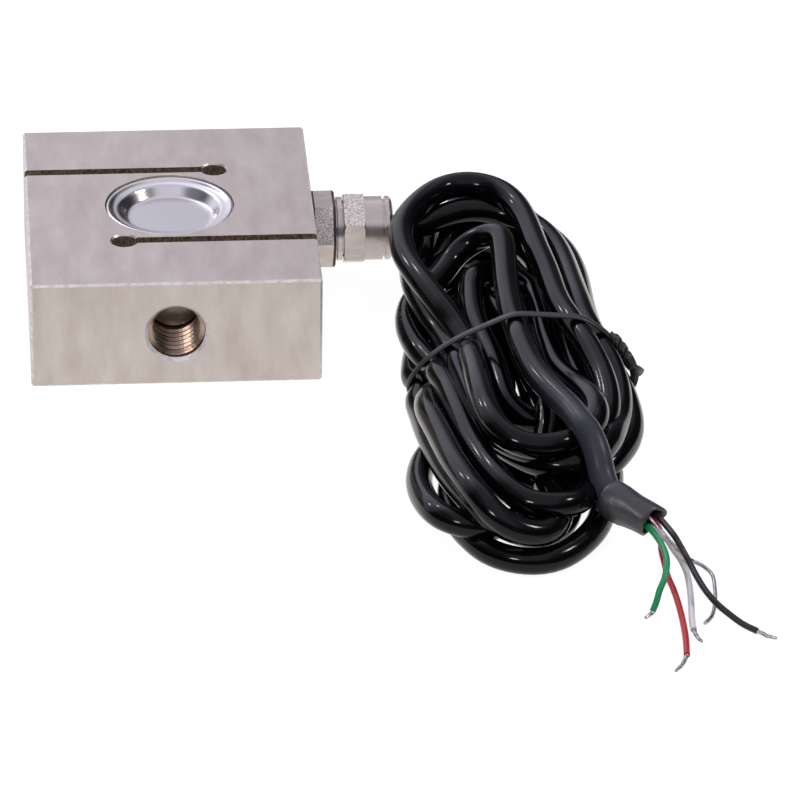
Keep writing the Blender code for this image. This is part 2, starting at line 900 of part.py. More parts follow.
def make_wires(materials, tinned):
    """Four insulated wires with tinned tips, and the bare drain wire."""
    routes = {
        "green": green_route,
        "red": red_route,
        "white": white_route,
        "black": black_route,
    }
    for name, route in routes.items():
        wire = smooth_route(in_metres(route), 2)
        tube(f"lead_wire_{name}", wire, wire_radius, materials[name], parent=cable_empty)
        tip = smooth_route(in_metres(tip_routes[name]), 2)
        tube(f"tinned_tip_{name}", tip, tip_radius, tinned, parent=cable_empty)
    drain = smooth_route(in_metres(drain_route), 2)
    tube("drain_wire", drain, drain_radius, tinned, parent=cable_empty)


remove_everything()
parts_group = new_collection("s_type_load_cell")
cutters_group = new_collection("cutters")
beam_empty = new_empty("beam_middle", (beam_shift_x, 0.0, 0.0))
cable_empty = new_empty("gland_mouth", (side_face_x + cap_end, port_y, 0.0), beam_empty)

nickel = new_material("nickel_plate", (0.55, 0.53, 0.50), 0.32, 1.0)
cup_metal = new_material("pressed_cup", (0.72, 0.74, 0.77), 0.18, 1.0)
gland_metal = new_material("gland_nickel", (0.60, 0.57, 0.53), 0.28, 1.0)
foil = new_material("gauge_foil", (0.62, 0.40, 0.16), 0.45)
strip_green = new_material("terminal_strip", (0.06, 0.22, 0.10), 0.5)
resistor_black = new_material("resistor", (0.03, 0.03, 0.03), 0.5)
seal_rubber = new_material("seal_rubber", (0.02, 0.02, 0.02), 0.7)
jacket_black = new_material("cable_jacket", (0.012, 0.012, 0.015), 0.22)
tie_black = new_material("tie_plastic", (0.015, 0.015, 0.016), 0.4)
sleeve_grey = new_material("sleeve", (0.055, 0.055, 0.060), 0.55)
tin = new_material("tinned_copper", (0.62, 0.62, 0.64), 0.35, 1.0)
insulation = {
    "green": new_material("green_insulation", (0.05, 0.42, 0.20), 0.4),
    "red": new_material("red_insulation", (0.62, 0.05, 0.09), 0.4),
    "white": new_material("white_insulation", (0.80, 0.80, 0.84), 0.4),
    "black": new_material("black_insulation", (0.02, 0.018, 0.02), 0.4),
    "link": new_material("link_enamel", (0.50, 0.20, 0.06), 0.4),
}

make_beam(nickel)
make_window_cup("window_cup_upper", 1, cup_metal)
make_window_cup("window_cup_lower", -1, cup_metal)
make_gauges(foil)
make_terminal_strips(strip_green, resistor_black)
make_inner_leads(insulation)
make_gland_body(gland_metal)
make_gland_cap(gland_metal)
make_gland_seals(seal_rubber, gland_metal)
make_cable(jacket_black)
bundle = make_hank(jacket_black)
make_twist_tie(bundle, tie_black)
make_sleeve(sleeve_grey)
make_wires(insulation, tin)
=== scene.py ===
"""Looks of the S-type load cell: nickel block, cable gland, cable wound into a hank, lead wires.

Places are in millimetres from the beam's middle, X to the gland, Y along the load axis and Z up
from the surface that the cell lies on. A finished piece is in metres in the model's own frame.
A list marked seen holds (across, down, height): a place in the picture in pixels, counted from
its upper left corner, and its height above the surface in millimetres.
"""

import math

import bmesh
import bpy
import numpy as np
from mathutils import Matrix, Vector


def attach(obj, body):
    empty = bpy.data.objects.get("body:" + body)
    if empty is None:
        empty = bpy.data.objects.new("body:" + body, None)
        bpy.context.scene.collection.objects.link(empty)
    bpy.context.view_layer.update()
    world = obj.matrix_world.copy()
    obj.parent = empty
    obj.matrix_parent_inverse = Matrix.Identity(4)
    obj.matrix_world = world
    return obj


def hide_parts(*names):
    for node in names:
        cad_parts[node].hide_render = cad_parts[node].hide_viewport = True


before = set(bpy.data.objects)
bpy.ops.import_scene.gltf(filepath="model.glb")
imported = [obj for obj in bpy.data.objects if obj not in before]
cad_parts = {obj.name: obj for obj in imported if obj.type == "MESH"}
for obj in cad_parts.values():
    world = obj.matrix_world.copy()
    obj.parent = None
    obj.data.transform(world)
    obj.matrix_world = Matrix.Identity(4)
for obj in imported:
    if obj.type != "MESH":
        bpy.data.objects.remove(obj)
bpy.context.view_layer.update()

millimetre = 0.001
beam_middle = np.array((-7.45, 0.0, 0.0))

# Camera fitted to the block's corners, slots and window.
picture_size = 800
focal_pixels = 6550.8
camera_eye = np.array((-39.516, -1037.479, 553.092))
camera_yaw = math.radians(4.4717)
camera_pitch = math.radians(28.8799)
camera_roll = math.radians(0.8013)
sensor_width = 36.0

# Block, as in the part's source.
beam_width = 51.0
beam_length = 60.0
beam_height = 20.0
slot_offset = 13.5
relief_radius = 2.25
window_radius = 11.5
load_thread_radius = 5.0
load_thread_depth = 11.0

# Faces of a load bore lie no deeper than this, with its drilled bottom.
load_bore_depth = load_thread_depth + 4

# Ridge of the load thread, which the part's source doesn't have. It starts at a depth and ends
# short of the thread's full depth.
thread_pitch = 1.5
thread_crest_radius = 4.25
thread_crest_half = 0.12
thread_root_half = 0.62
thread_start = 0.9
thread_run_out = 1.2
thread_root_radius = load_thread_radius + 0.05
thread_turn_steps = 40
thread_end_share = 0.02

# Copies of the solids: vertices this near in metres become one, and faces that meet at less than
# the flat angle become one. Edges are smooth below the sharp angle, and rounded above the bevel's.
weld_distance = 1e-6
flat_angle = math.radians(0.5)
sharp_angle = math.radians(28)
bevel_angle = math.radians(30)
edge_radius = 0.1

# Gland mouth, where the cable leaves it, and the room round its axis that other strands leave.
mouth = np.array((40.4, 8.5, 0.0))
mouth_height = 10.0
gland_keepout_radius = 8.3
gland_keepout_end = 42.8

# Gland parts that are turned: piece, node, and how many degrees a corner of the hexagon and the
# middle of its rough faces lean from straight up towards the front.
turned_gland_parts = (
    ("fixed_hexagon", "gland_body", 28.0, 54.6),
    ("cap_nut", "gland_cap_nut", 0.0, 30.0),
)
hexagon_rough_reach = 5.9
hexagon_rough_facing = 0.97

# Stations of the painted gap shade: the dark band before the fixed hexagon, and the one from it to
# the neck's end.
painted_gap_shade_stations = (26.25, 29.5)
neck_end = 30.03

# Window cup: radius and height over the block's face, from its edge to its middle.
cup_profile = (
    (11.45, -1.15), (11.46, -0.7), (11.38, -0.42), (11.2, -0.25), (10.95, -0.2), (10.7, -0.27),
    (10.48, -0.42), (10.3, -0.56), (10.05, -0.64), (9.8, -0.67), (9.4, -0.68), (9.15, -0.74),
    (8.95, -0.88), (8.8, -1.05), (7.95, -2.12), (7.78, -2.3), (7.55, -2.42), (7.25, -2.45),
    (6.8, -2.45), (3.5, -2.45), (0.3, -2.45),
)
cup_lower_edge = (11.45, -1.18)
cup_sheet = 0.28
cup_inset = 0.05
cup_sides = 112

# Cable and hank. Strands settle a little closer than their thickness. The last points of the
# cable, next to the sleeve, are worn to satin, with a painted sheen: a paler, bluish colour.
cable_radius = 2.3
strand_spacing = 4.5
highest_strand = 15.9
leftmost_strand = 39.3
leftmost_behind_tie = 41.0
worn_and_sheen_points = 36
worn_and_sheen_skin = 0.02

# Tie: a flat band round the hank in a plane across Y, with two twisted ends.
tie_y = -40.0
tie_radius = 0.7
tie_points = 120
tie_smoothing_rounds = 6
tie_end_way = (0.8, 0.6)
tie_half_width = 0.85
tie_half_thickness = 0.35
tie_band_sink = 0.5
tie_band_sides = 12
tie_end_half_width = tie_half_width * 1.1
tie_end_half_thickness = tie_half_thickness * 1.3
tie_end_sides = 10
tie_end_steps = 10
tie_twist_radius = 0.38
tie_twist_pitch = 3.6
tie_twist_length = 5.4
tie_twist_opening = (0.2, 1.0)
# Where the tie's two ends go from its right shoulder: first together, then each its own way.
tie_twist_shifts = (
    (0.0, 0.0, 0.0), (0.7, -0.3, -0.5), (1.9, -0.9, -1.9), (2.9, -1.6, -3.4), (3.7, -2.3, -4.9),
)
tie_end_shifts = (
    tie_twist_shifts + ((4.0, -3.6, -6.0), (3.6, -4.6, -7.2), (3.2, -4.0, -8.0)),
    tie_twist_shifts + ((4.6, -2.0, -5.6), (5.2, -1.0, -6.6), (4.9, -0.6, -7.4)),
)

# How far from its plane the tie presses strands inward and lifts them, and how steeply the bundle
# widens from it.
tie_pressed_reach = 7.0
tie_pressed_slope = 0.35
tie_lift_reach = 6.0
strand_height_at_tie = 2 * tie_radius + 0.2 + cable_radius

# Settling of the cable, in steps of millimetres along it and in rounds. A pull, push, hold or
# share says how much of the way is made or kept back in one round. Strands are watched for
# touching while they are closer than the spacing and a margin.
settling_step = 3.0
settling_rounds = 500
last_rounds = 12
route_smoothing = (0.5, -0.52)
route_smoothing_rounds = 4
picture_pull = 0.5
picture_hold = 0.95
free_pull = 0.02
firm_push = 0.5
gentle_push = 0.25
keepout_push = 0.5
inner_rounds = 2
settled_steps = 2
pair_rounds = 10
pair_margin = 2.5
neighbour_reach = 2.2 * strand_spacing
cable_stiffness = ((1, 0.24), (3, 0.06))
evening_pull = 0.25
usual_steps = 9
held_points = 3
mouth_points = 8
tightest_bend = 6.5
easing_rounds = 60
easing_slope = 1.5
easing_share = 0.4

# The tie's plane cuts the bundle in this shape, (across, height).
bundle_section = (
    (38.7, 0.0), (38.7, 3.5), (41.0, 8.5), (45.3, 12.0), (49.5, 14.8), (53.9, 17.0),
    (58.3, 18.3), (64.5, 18.5), (70.0, 17.8), (73.6, 16.0), (76.2, 13.0), (77.6, 9.0),
    (78.4, 5.5), (78.4, 0.0),
)

# Strands of the cable in their order from the gland to the sleeve. Each joins on to the next.
cable_strands = (
    ("laid", (
        (40.4, 8.5, 10.0), (42.4, 8.5, 10.0), (44.4, 8.7, 10.1), (46.4, 9.2, 10.3),
    )),
    ("seen", (
        (437, 221, 10.7), (453, 212, 11), (470, 208, 11), (484, 209, 10.8), (497, 212, 10.5),
        (511, 216, 10.2), (524, 221, 9.8), (536, 227, 9.5), (548, 238, 9.5), (559, 254, 9.8),
        (567, 272, 10.5), (573, 288, 11.2), (579, 303, 12), (586, 324, 12.2), (592, 334, 12),
        (607, 357, 10.5), (615, 376, 9), (619, 397, 8), (619, 412, 7.5), (614, 431, 7.5),
        (604, 446, 8), (594, 457, 8.5), (580, 466, 8.8), (564, 469, 9), (542, 465, 9),
        (521, 456, 9), (503, 444, 9), (490, 427, 8.8), (480, 408, 8.5), (471, 388, 8.2),
        (464, 369, 8),
    )),
    ("laid", (
        (49, -35, 7), (48.8, -28, 5.5), (49.2, -18, 3.6), (50, -6, 2.4), (51.5, 4, 2.4),
        (53, 13, 2.4), (55.5, 19.5, 3), (60, 22.5, 3.5), (64.5, 19.5, 3.5), (67.5, 13, 3),
        (70, 4, 2.4), (72.5, -10, 2.4), (74.2, -25, 2.6), (74.5, -40, 4), (75.3, -50, 3),
        (74.6, -60, 2.4),
    )),
    ("seen", (
        (604, 503, 2.4), (602, 515, 2.4), (595, 530, 2.4), (582, 542, 2.4), (564, 555, 2.4),
        (548, 562, 2.4), (531, 564, 2.4), (512, 561, 2.4), (491, 554, 2.4), (478, 546, 2.4),
        (467, 535, 2.4), (459, 522, 2.4), (454, 509, 2.4), (450, 495, 2.4),
    )),
    ("laid", (
        (45.5, -70, 2.4), (49, -60, 2.4), (52.5, -50, 3), (54.5, -40, 3.9), (54.5, -30, 2.8),
        (54, -20, 2.4), (53.5, -10, 2.4), (54.5, 0, 2.4), (58, 7, 2.4), (63, 7.5, 2.4),
        (66.5, 1, 2.4), (68, -8, 2.4), (69, -19, 2.4), (69.8, -30, 2.8), (70, -40, 3.9),
        (71, -50, 2.8), (70.5, -60, 2.4), (68, -70, 2.4), (63.5, -78, 2.4), (58, -83, 3),
    )),
    ("seen", (
        (505, 523, 4.5), (492, 527, 5.5), (477, 528, 6.5), (464, 526, 7), (452, 522, 7.2),
        (440, 515, 6.5), (429, 505, 5), (422, 493, 3.8), (419, 481, 3), (420, 470, 2.6),
        (428, 455, 2.4),
    )),
    ("laid", (
        (46.5, -55, 2.6), (48.5, -40, 3.9), (48.5, -28, 2.6), (48.8, -18, 2.4),
        (50.2, -9, 2.4), (53, -4.5, 2.4), (57, -4, 2.4), (59.8, -8.5, 2.4), (60.5, -18, 2.4),
        (60.5, -30, 2.8), (60.8, -40, 3.9), (62, -50, 2.8), (64, -60, 2.8), (65.2, -68, 3.5),
        (64.5, -76, 4.5),
    )),
    ("seen", (
        (569, 500, 5), (567, 514, 5.5), (560, 527, 6), (547, 535, 6.5), (531, 537, 7),
        (514, 532, 7.5), (499, 524, 8.5), (483, 512, 9.8), (465, 494, 8.5), (449, 474, 7.5),
        (437, 452, 6.5), (427, 430, 5.5), (420, 409, 4.8), (416, 394, 4.2), (414, 380, 4),
        (413, 366, 3.8), (418, 350, 3.2),
    )),
    ("laid", (
        (44.5, -18, 2.6), (45.5, -8, 2.4), (47.5, 1, 2.6), (48.5, 10, 4), (50.5, 17.5, 7),
        (54.5, 22, 9), (59.5, 22, 9), (63.8, 17, 7.6),
    )),
    ("seen", (
        (548, 238, 6.2), (556, 243, 6.2), (563, 251, 6.3), (571, 265, 6.6), (578, 286, 7),
        (583, 310, 7.8), (590, 330, 8.3), (598, 345, 8.2), (611, 365, 7.2), (621, 390, 6),
        (628, 406, 5), (631, 423, 4.4), (630, 437, 4), (623, 449, 4), (613, 459, 4.2),
        (600, 470, 4.6), (584, 480, 5.2), (567, 486, 5.6), (549, 487, 5.8), (532, 482, 5.8),
        (517, 470, 5.4), (503, 452, 5), (490, 430, 4.8), (478, 406, 4.8), (466, 382, 5),
    )),
    ("laid", (
        (48.3, -34, 5.6), (46, -27, 4.6), (45, -17, 3.6), (46.5, -8, 3.4), (50.5, -4, 4),
        (55.5, -7, 5), (58.5, -15, 6), (60, -26, 7), (61.5, -40, 7.9), (63, -50, 6.5),
        (64.5, -60, 5.5), (64, -70, 5), (61, -78, 5.5),
    )),
    ("seen", (
        (560, 503, 4.6), (559, 517, 5.6), (551, 529, 6.8), (537, 535, 8.0), (519, 532, 9.2),
        (501, 521, 10.3), (484, 502, 10.5), (468, 482, 10), (453, 461, 9), (443, 440, 8),
        (433, 420, 7), (425, 403, 6),
    )),
    ("laid", (
        (44.5, -40, 4.2), (43.2, -30, 4), (43.8, -20, 6.5), (45, -10, 6.8), (47.5, -1, 6.6),
        (52, 5, 6.4), (57, 6, 6.4), (61.5, 1, 6.4), (63, -10, 6.4), (62, -22, 6),
        (62.5, -32, 5), (64.5, -40, 5), (66.5, -48, 4.8), (67.2, -53, 4.8),
    )),
    ("seen", (
        (569, 424, 5), (558, 431, 6), (545, 432, 6.8), (530, 428, 7.2), (515, 417, 7.6),
        (504, 397, 8.2), (497, 372, 9), (488, 350, 9.6), (477, 330, 10), (472, 308, 9.6),
        (472, 288, 8.8), (476, 272, 8), (486, 264, 7), (500, 266, 6.6), (513, 274, 6.4),
    )),
    ("laid", (
        (64.5, -14, 6.6), (65.5, -24, 7.5), (64.8, -34, 8.8), (63.6, -41, 9.2),
    )),
    ("seen", (
        (559, 372, 9), (572, 384, 9.6), (585, 393, 10.4), (594, 402, 11), (597, 413, 11.3),
        (592, 425, 11.3), (583, 435, 11.5), (571, 441, 11.8), (561, 444, 12), (547, 448, 12.2),
        (532, 448, 12.4), (515, 442, 12.7), (501, 432, 13), (491, 417, 13), (484, 400, 12.9),
        (478, 382, 12.2), (472, 363, 11.4), (465, 346, 10.9), (452, 323, 11.6),
        (440, 306, 12.7), (428, 289, 13.9), (416, 273, 14.5), (406, 258, 14.9), (401, 245, 15.1),
        (401, 232, 15.2), (406, 219, 15.2), (415, 208, 15), (427, 198, 14.5), (439, 190, 14),
        (454, 185, 13.5), (470, 183, 13.2), (484, 185, 13.2), (497, 190, 13.3), (509, 198, 13.5),
        (518, 209, 13.8), (525, 221, 14.1), (532, 237, 14.4), (539, 255, 14.5), (546, 268, 14.5),
        (552, 286, 14.4), (560, 306, 14.5), (568, 318, 14.6), (575, 325, 14.4), (588, 347, 13.2),
        (598, 365, 12), (605, 385, 10.8), (608, 402, 10.2), (606, 417, 10), (597, 431, 10),
        (587, 443, 10.2), (574, 451, 10.4), (556, 455, 10.6), (537, 454, 10.8), (518, 448, 10.8),
        (501, 437, 10.8), (487, 421, 10.6), (475, 400, 10.4), (465, 378, 9.8), (456, 357, 9.2),
        (445, 340, 8.9), (431, 318, 9), (419, 297, 8.8), (412, 275, 8.2), (414, 259, 7),
        (419, 246, 5.8),
    )),
    ("laid", (
        (46.6, 11, 5), (48.5, 15, 5.2), (52, 17.8, 5.6), (57, 18, 5.8), (61.5, 14.5, 6.2),
        (65, 6, 6.8), (67.5, -7, 7.2), (68.5, -24, 7.5), (67.6, -40, 7.9), (68.5, -50, 6.5),
        (69, -58, 6), (68.5, -66, 6),
    )),
    ("seen", (
        (593, 478, 6.5), (587, 491, 7), (577, 502, 7.4), (563, 509, 7.8), (548, 509, 8.3),
        (532, 505, 8.8), (516, 496, 9.3), (500, 481, 9.8), (486, 462, 10), (472, 441, 10),
        (462, 420, 9.8), (452, 399, 9.2), (442, 380, 8), (431, 365, 7), (420, 352, 6.6),
        (411, 337, 7.2), (408, 320, 7), (412, 302, 7.2),
        (424, 289, 7.6), (438, 281, 7.8), (447, 269, 8.2), (452, 256, 8.8), (460, 246, 9.4),
        (470, 240, 10.2), (481, 233, 11.4), (490, 227, 13.4), (498, 230, 15.2), (503, 250, 15.7),
        (506, 282, 15.7), (510, 307, 15.6), (514, 322, 15.6), (521, 340, 15.7), (528, 357, 15.7),
        (538, 376, 15.7), (554, 392, 15.7), (571, 407, 15.5), (585, 425, 14.8), (595, 445, 13.4),
        (600, 462, 12), (604, 476, 10.4),
    )),
    ("laid", ((69.3, -87.1, 8.4), (71, -88.4, 7.8))),
)

# Lead wires and their tinned ends, counted from the mouth, as in the part's source.
sleeve_start = (29.2, -95.9, 8.2)
sleeve_end = (36.4, -101.0, 6.0)
sleeve_tongue = 1.5
sleeve_tongue_turn = math.radians(150)
# Its waves: height as a share of the radius, number round the sleeve, and turn along it.
sleeve_waves = ((0.02, 3, 9), (0.012, 7, 4))
# Share of the sleeve's length and radius, up along its outside and back through its inside.
sleeve_profile = (
    (0.0, 2.75), (0.01, 2.98), (0.08, 3.18), (0.2, 3.34), (0.35, 3.38), (0.48, 3.26),
    (0.6, 3.06), (0.75, 2.98), (0.88, 2.95), (0.99, 2.9), (1.0, 2.8), (1.0, 2.45),
    (0.9, 2.35), (0.6, 2.35), (0.3, 2.4), (0.05, 2.4), (0.0, 2.45),
)
sleeve_sides = 40
wire_radius = 0.55
drain_radius = 0.35
lead_steps = 8
tip_radius = 0.34
tip_taper = 0.35
tip_lobes = 5
tip_lobe_height = 0.14
tip_twist = 4.0
tip_sides = 20
tip_steps = 6
lead_routes = {
    "green": (
        (30.2, -98.2, 7.2), (33.4, -100.5, 6.2), (35.6, -102.0, 5.6), (36.7, -107.4, 6.6),
        (37.4, -112.0, 6.9), (37.5, -115.7, 6.6), (36.9, -118.6, 5.4), (35.9, -120.4, 4.0),
        (35.3, -121.2, 2.2), (34.7, -121.7, 0.8),
    ),
    "black": (
        (31.7, -96.8, 8.7), (34.9, -99.0, 7.7), (37.1, -100.5, 7.1), (39.2, -108.0, 7.6),
        (40.4, -110.6, 6.4), (41.6, -112.9, 4.8), (42.5, -116.6, 4.1), (43.6, -120.2, 3.5),
        (45.0, -123.2, 2.9), (46.9, -125.3, 2.0), (49.0, -127.3, 1.2), (51.2, -129.0, 0.8),
    ),
    "red": (
        (31.7, -96.1, 7.2), (34.9, -98.4, 6.2), (37.0, -99.9, 5.6), (38.4, -99.3, 2.4),
        (38.2, -101.9, 1.2), (38.3, -105.8, 0.8), (38.4, -110.5, 0.8), (38.9, -115.1, 0.8),
        (39.2, -120.0, 0.8), (39.3, -125.2, 0.8), (39.2, -130.6, 0.8), (38.8, -136.0, 0.8),
    ),
    "white": (
        (30.8, -97.1, 6.3), (34.0, -99.3, 5.3), (36.1, -100.8, 4.7), (38.6, -102.0, 3.6),
        (39.9, -104.3, 2.4), (41.0, -106.7, 1.6), (41.6, -110.3, 1.2), (41.6, -114.9, 1.0),
        (41.3, -119.8, 0.8), (40.9, -124.6, 0.8), (40.8, -128.1, 0.8),
    ),
}
drain_route = (
    (30.8, -98.0, 8.7), (34.0, -100.3, 7.7), (36.1, -101.8, 7.0), (38.8, -104.8, 4.8),
    (40.3, -106.4, 3.6), (41.9, -107.8, 2.6), (43.2, -107.8, 1.8), (44.7, -108.7, 1.3),
    (45.8, -110.9, 1.0), (45.8, -114.8, 0.8), (45.3, -119.6, 0.8), (44.3, -123.8, 0.8),
    (42.9, -126.0, 0.8),
)
tip_routes = {
    "green": ((34.6, -122.1, 0.7), (34.0, -122.7, 0.6), (33.3, -123.4, 0.5)),
    "black": ((51.6, -129.2, 0.7), (52.8, -130.2, 0.5), (54.2, -130.9, 0.5)),
    "red": ((38.6, -136.5, 0.7), (37.8, -138.4, 0.5), (36.5, -140.4, 0.5)),
    "white": ((40.9, -128.6, 0.7), (41.2, -129.9, 0.5), (41.8, -131.4, 0.5)),
}


# Camera


def camera_rows():
    """The camera's right, down and forward directions, counted from the beam."""
    turn = np.array((
        (math.cos(camera_yaw), -math.sin(camera_yaw), 0),
        (math.sin(camera_yaw), math.cos(camera_yaw), 0),
        (0, 0, 1),
    ))
    dip = np.array((
        (1, 0, 0),
        (0, -math.sin(camera_pitch), -math.cos(camera_pitch)),
        (0, math.cos(camera_pitch), -math.sin(camera_pitch)),
    ))
    lean = np.array((
        (math.cos(camera_roll), -math.sin(camera_roll), 0),
        (math.sin(camera_roll), math.cos(camera_roll), 0),
        (0, 0, 1),
    ))
    return lean @ dip @ turn


def seen_place(across, down, height):
    """The place at a height that the camera sees at a pixel."""
    half = picture_size / 2
    ray = camera_rows().T @ np.array((
        (across - half) / focal_pixels, (down - half) / focal_pixels, 1.0,
    ))
    return camera_eye + ray * (height - camera_eye[2]) / ray[2]


def in_frame(place):
    """A place from the beam's middle, in millimetres, as the model's own place in metres."""
    return Vector((np.asarray(place, float) + beam_middle) * millimetre)


def new_object(name, data):
    made = bpy.data.objects.new(name, data)
    bpy.context.scene.collection.objects.link(made)
    return made


def place_camera():
    right, down, forward = camera_rows()
    data = bpy.data.cameras.new("photo_view")
    data.sensor_width = sensor_width
    data.lens = focal_pixels / picture_size * sensor_width
    data.clip_start = 0.05
    data.clip_end = 20
    camera = new_object("photo_view", data)
    camera.matrix_world = Matrix((
        (right[0], -down[0], -forward[0], 0),
        (right[1], -down[1], -forward[1], 0),
        (right[2], -down[2], -forward[2], 0),
        (0, 0, 0, 1),
    ))
    camera.location = in_frame(camera_eye)
    bpy.context.scene.camera = camera


# Materials


# Patches and grain say how many fit into a metre along X, Y and Z, and a depth is in metres.
jacket_facts = ((5, 5, 6), (9, 9, 11), 0.13, {
    "patches": (60, 60, 60), "grain": (450, 450, 450), "grain_depth": 0.000008,
    "roughness_spread": 0.06, "specular": 0.22,
})
finish_facts = {
    "block_nickel": ((210, 199, 192), (188, 175, 169), 0.42, {
        "metallic": 1.0, "patches": (240, 90, 90), "contrast": 2.0, "roughness_spread": 0.16,
        "grain": (4200, 260, 260), "grain_depth": 0.000008,
    }),
    # Pale, nearly white colour for the softened edges: a painted highlight of the light overhead.
    "block_edge_painted_highlight": ((250, 246, 243), (216, 208, 203), 0.35, {
        "metallic": 0.2, "patches": (900, 900, 900), "contrast": 3.0, "grain_depth": 0.00004,
    }),
    "slot_wall": ((158, 134, 116), (84, 68, 58), 0.6, {
        "metallic": 0.35, "patches": (2600, 1500, 1100), "contrast": 3.5,
        "grain": (3500, 2000, 1500), "grain_depth": 0.0001,
    }),
    "bored_steel": ((192, 170, 152), (140, 116, 100), 0.32, {
        "metallic": 1.0, "patches": (300, 900, 300), "contrast": 2.5,
        "grain": (800, 6000, 800), "grain_depth": 0.00002,
    }),
    "cup_steel": ((222, 216, 216), (212, 206, 207), 0.18, {
        "metallic": 1.0, "patches": (50, 50, 50), "roughness_spread": 0.04,
    }),
    "gland_cast": ((246, 238, 233), (182, 168, 160), 0.36, {
        "metallic": 0.8, "patches": (3000, 3000, 3000), "contrast": 4.0, "grain_depth": 0.00005,
    }),
    # Dark brown painted shade for the narrow gaps of the gland.
    "gland_gap_painted_shade": ((74, 56, 48), (44, 34, 30), 0.6, {"patches": (900, 900, 900)}),
    "gland_nickel": ((214, 203, 197), (176, 164, 157), 0.24, {
        "metallic": 0.8, "patches": (120, 400, 400), "contrast": 2.0,
        "grain": (2500, 800, 800), "grain_depth": 0.000006,
    }),
    "seal_rubber": ((30, 30, 32), (20, 20, 22), 0.6, {"grain_depth": 0.00002}),
    "cable_jacket": jacket_facts,
    # The handled end: the jacket's finish, later given a paler painted sheen and more roughness.
    "worn_and_sheen_jacket": jacket_facts,
    "shrink_sleeve": ((50, 50, 55), (36, 36, 40), 0.42, {
        "patches": (220, 220, 220), "contrast": 2.5, "grain": (700, 700, 700),
        "grain_depth": 0.0001, "specular": 0.8,
    }),
    "tie_plastic": ((56, 53, 55), (40, 38, 40), 0.42, {"grain_depth": 0.00003}),
    "wire_green": ((24, 158, 96), (16, 136, 82), 0.35, {}),
    "wire_red": ((206, 38, 48), (176, 28, 40), 0.35, {}),
    "wire_white": ((236, 232, 232), (216, 212, 216), 0.35, {}),
    "wire_black": ((34, 30, 32), (22, 20, 22), 0.35, {}),
    "tinned_copper": ((198, 194, 196), (150, 146, 150), 0.32, {
        "metallic": 1.0, "patches": (1200, 1200, 1200), "contrast": 2.5,
        "grain": (4000, 4000, 4000), "grain_depth": 0.00004,
    }),
    "gauge_foil": ((206, 168, 92), (150, 112, 52), 0.4, {
        "patches": (5000, 700, 700), "contrast": 5.0,
    }),
    "strip_board": ((58, 104, 62), (42, 82, 48), 0.5, {}),
    "resistor_ceramic": ((66, 104, 150), (50, 84, 128), 0.45, {}),
    "enamel": ((150, 84, 36), (122, 62, 24), 0.3, {}),
}
# The worn end of the jacket: metres from the sleeve where it starts and ends, the paler bluish
# colour that is painted sheen, and the added roughness of the wear.
worn_and_sheen_reach = (0.006, 0.04)
painted_sheen_colour = (58, 58, 67)
worn_roughness = 0.22


def linear(red, green, blue):
    """A colour given as it looks on a screen, 0 to 255, in the renderer's own values."""
    def value(part):
        part /= 255
        return part / 12.92 if part <= 0.04045 else ((part + 0.055) / 1.055) ** 2.4
    return (value(red), value(green), value(blue), 1.0)


def add_node(tree, kind, given, **settings):
    """A new shader node with its settings, its inputs linked or set to plain values."""
    node = tree.nodes.new("ShaderNode" + kind)
    for label, setting in settings.items():
        setattr(node, label, setting)
    for label, value in given.items():
        if isinstance(value, bpy.types.NodeSocket):
            tree.links.new(value, node.inputs[label])
        else:
            node.inputs[label].default_value = value
    return node


def maths(tree, operation, *given, clamp=False):
    """The result of a maths node over sockets and plain numbers."""
    node = add_node(tree, "Math", dict(enumerate(given)), operation=operation, use_clamp=clamp)
    return node.outputs[0]


def colour_between(tree, share, first, second):
    """A colour between two others."""
    node = add_node(tree, "Mix", {"Factor": share, 6: first, 7: second}, data_type="RGBA")
    return node.outputs[2]


def passing(tree, value, reach, levels=(0.0, 1.0), change="SMOOTHSTEP"):
    """A level that goes from the first to the second while the value goes through its reach."""
    given = {"Value": value, "From Min": reach[0], "From Max": reach[1]}
    given.update({"To Min": levels[0], "To Max": levels[1]})
    return add_node(tree, "MapRange", given, interpolation_type=change).outputs[0]


def new_group(name, inputs, outputs):
    group = bpy.data.node_groups.new(name, "ShaderNodeTree")
    for label, kind in inputs:
        group.interface.new_socket(label, in_out="INPUT", socket_type="NodeSocket" + kind)
    for label, kind in outputs:
        group.interface.new_socket(label, in_out="OUTPUT", socket_type="NodeSocket" + kind)
    return group, group.nodes.new("NodeGroupInput"), group.nodes.new("NodeGroupOutput")


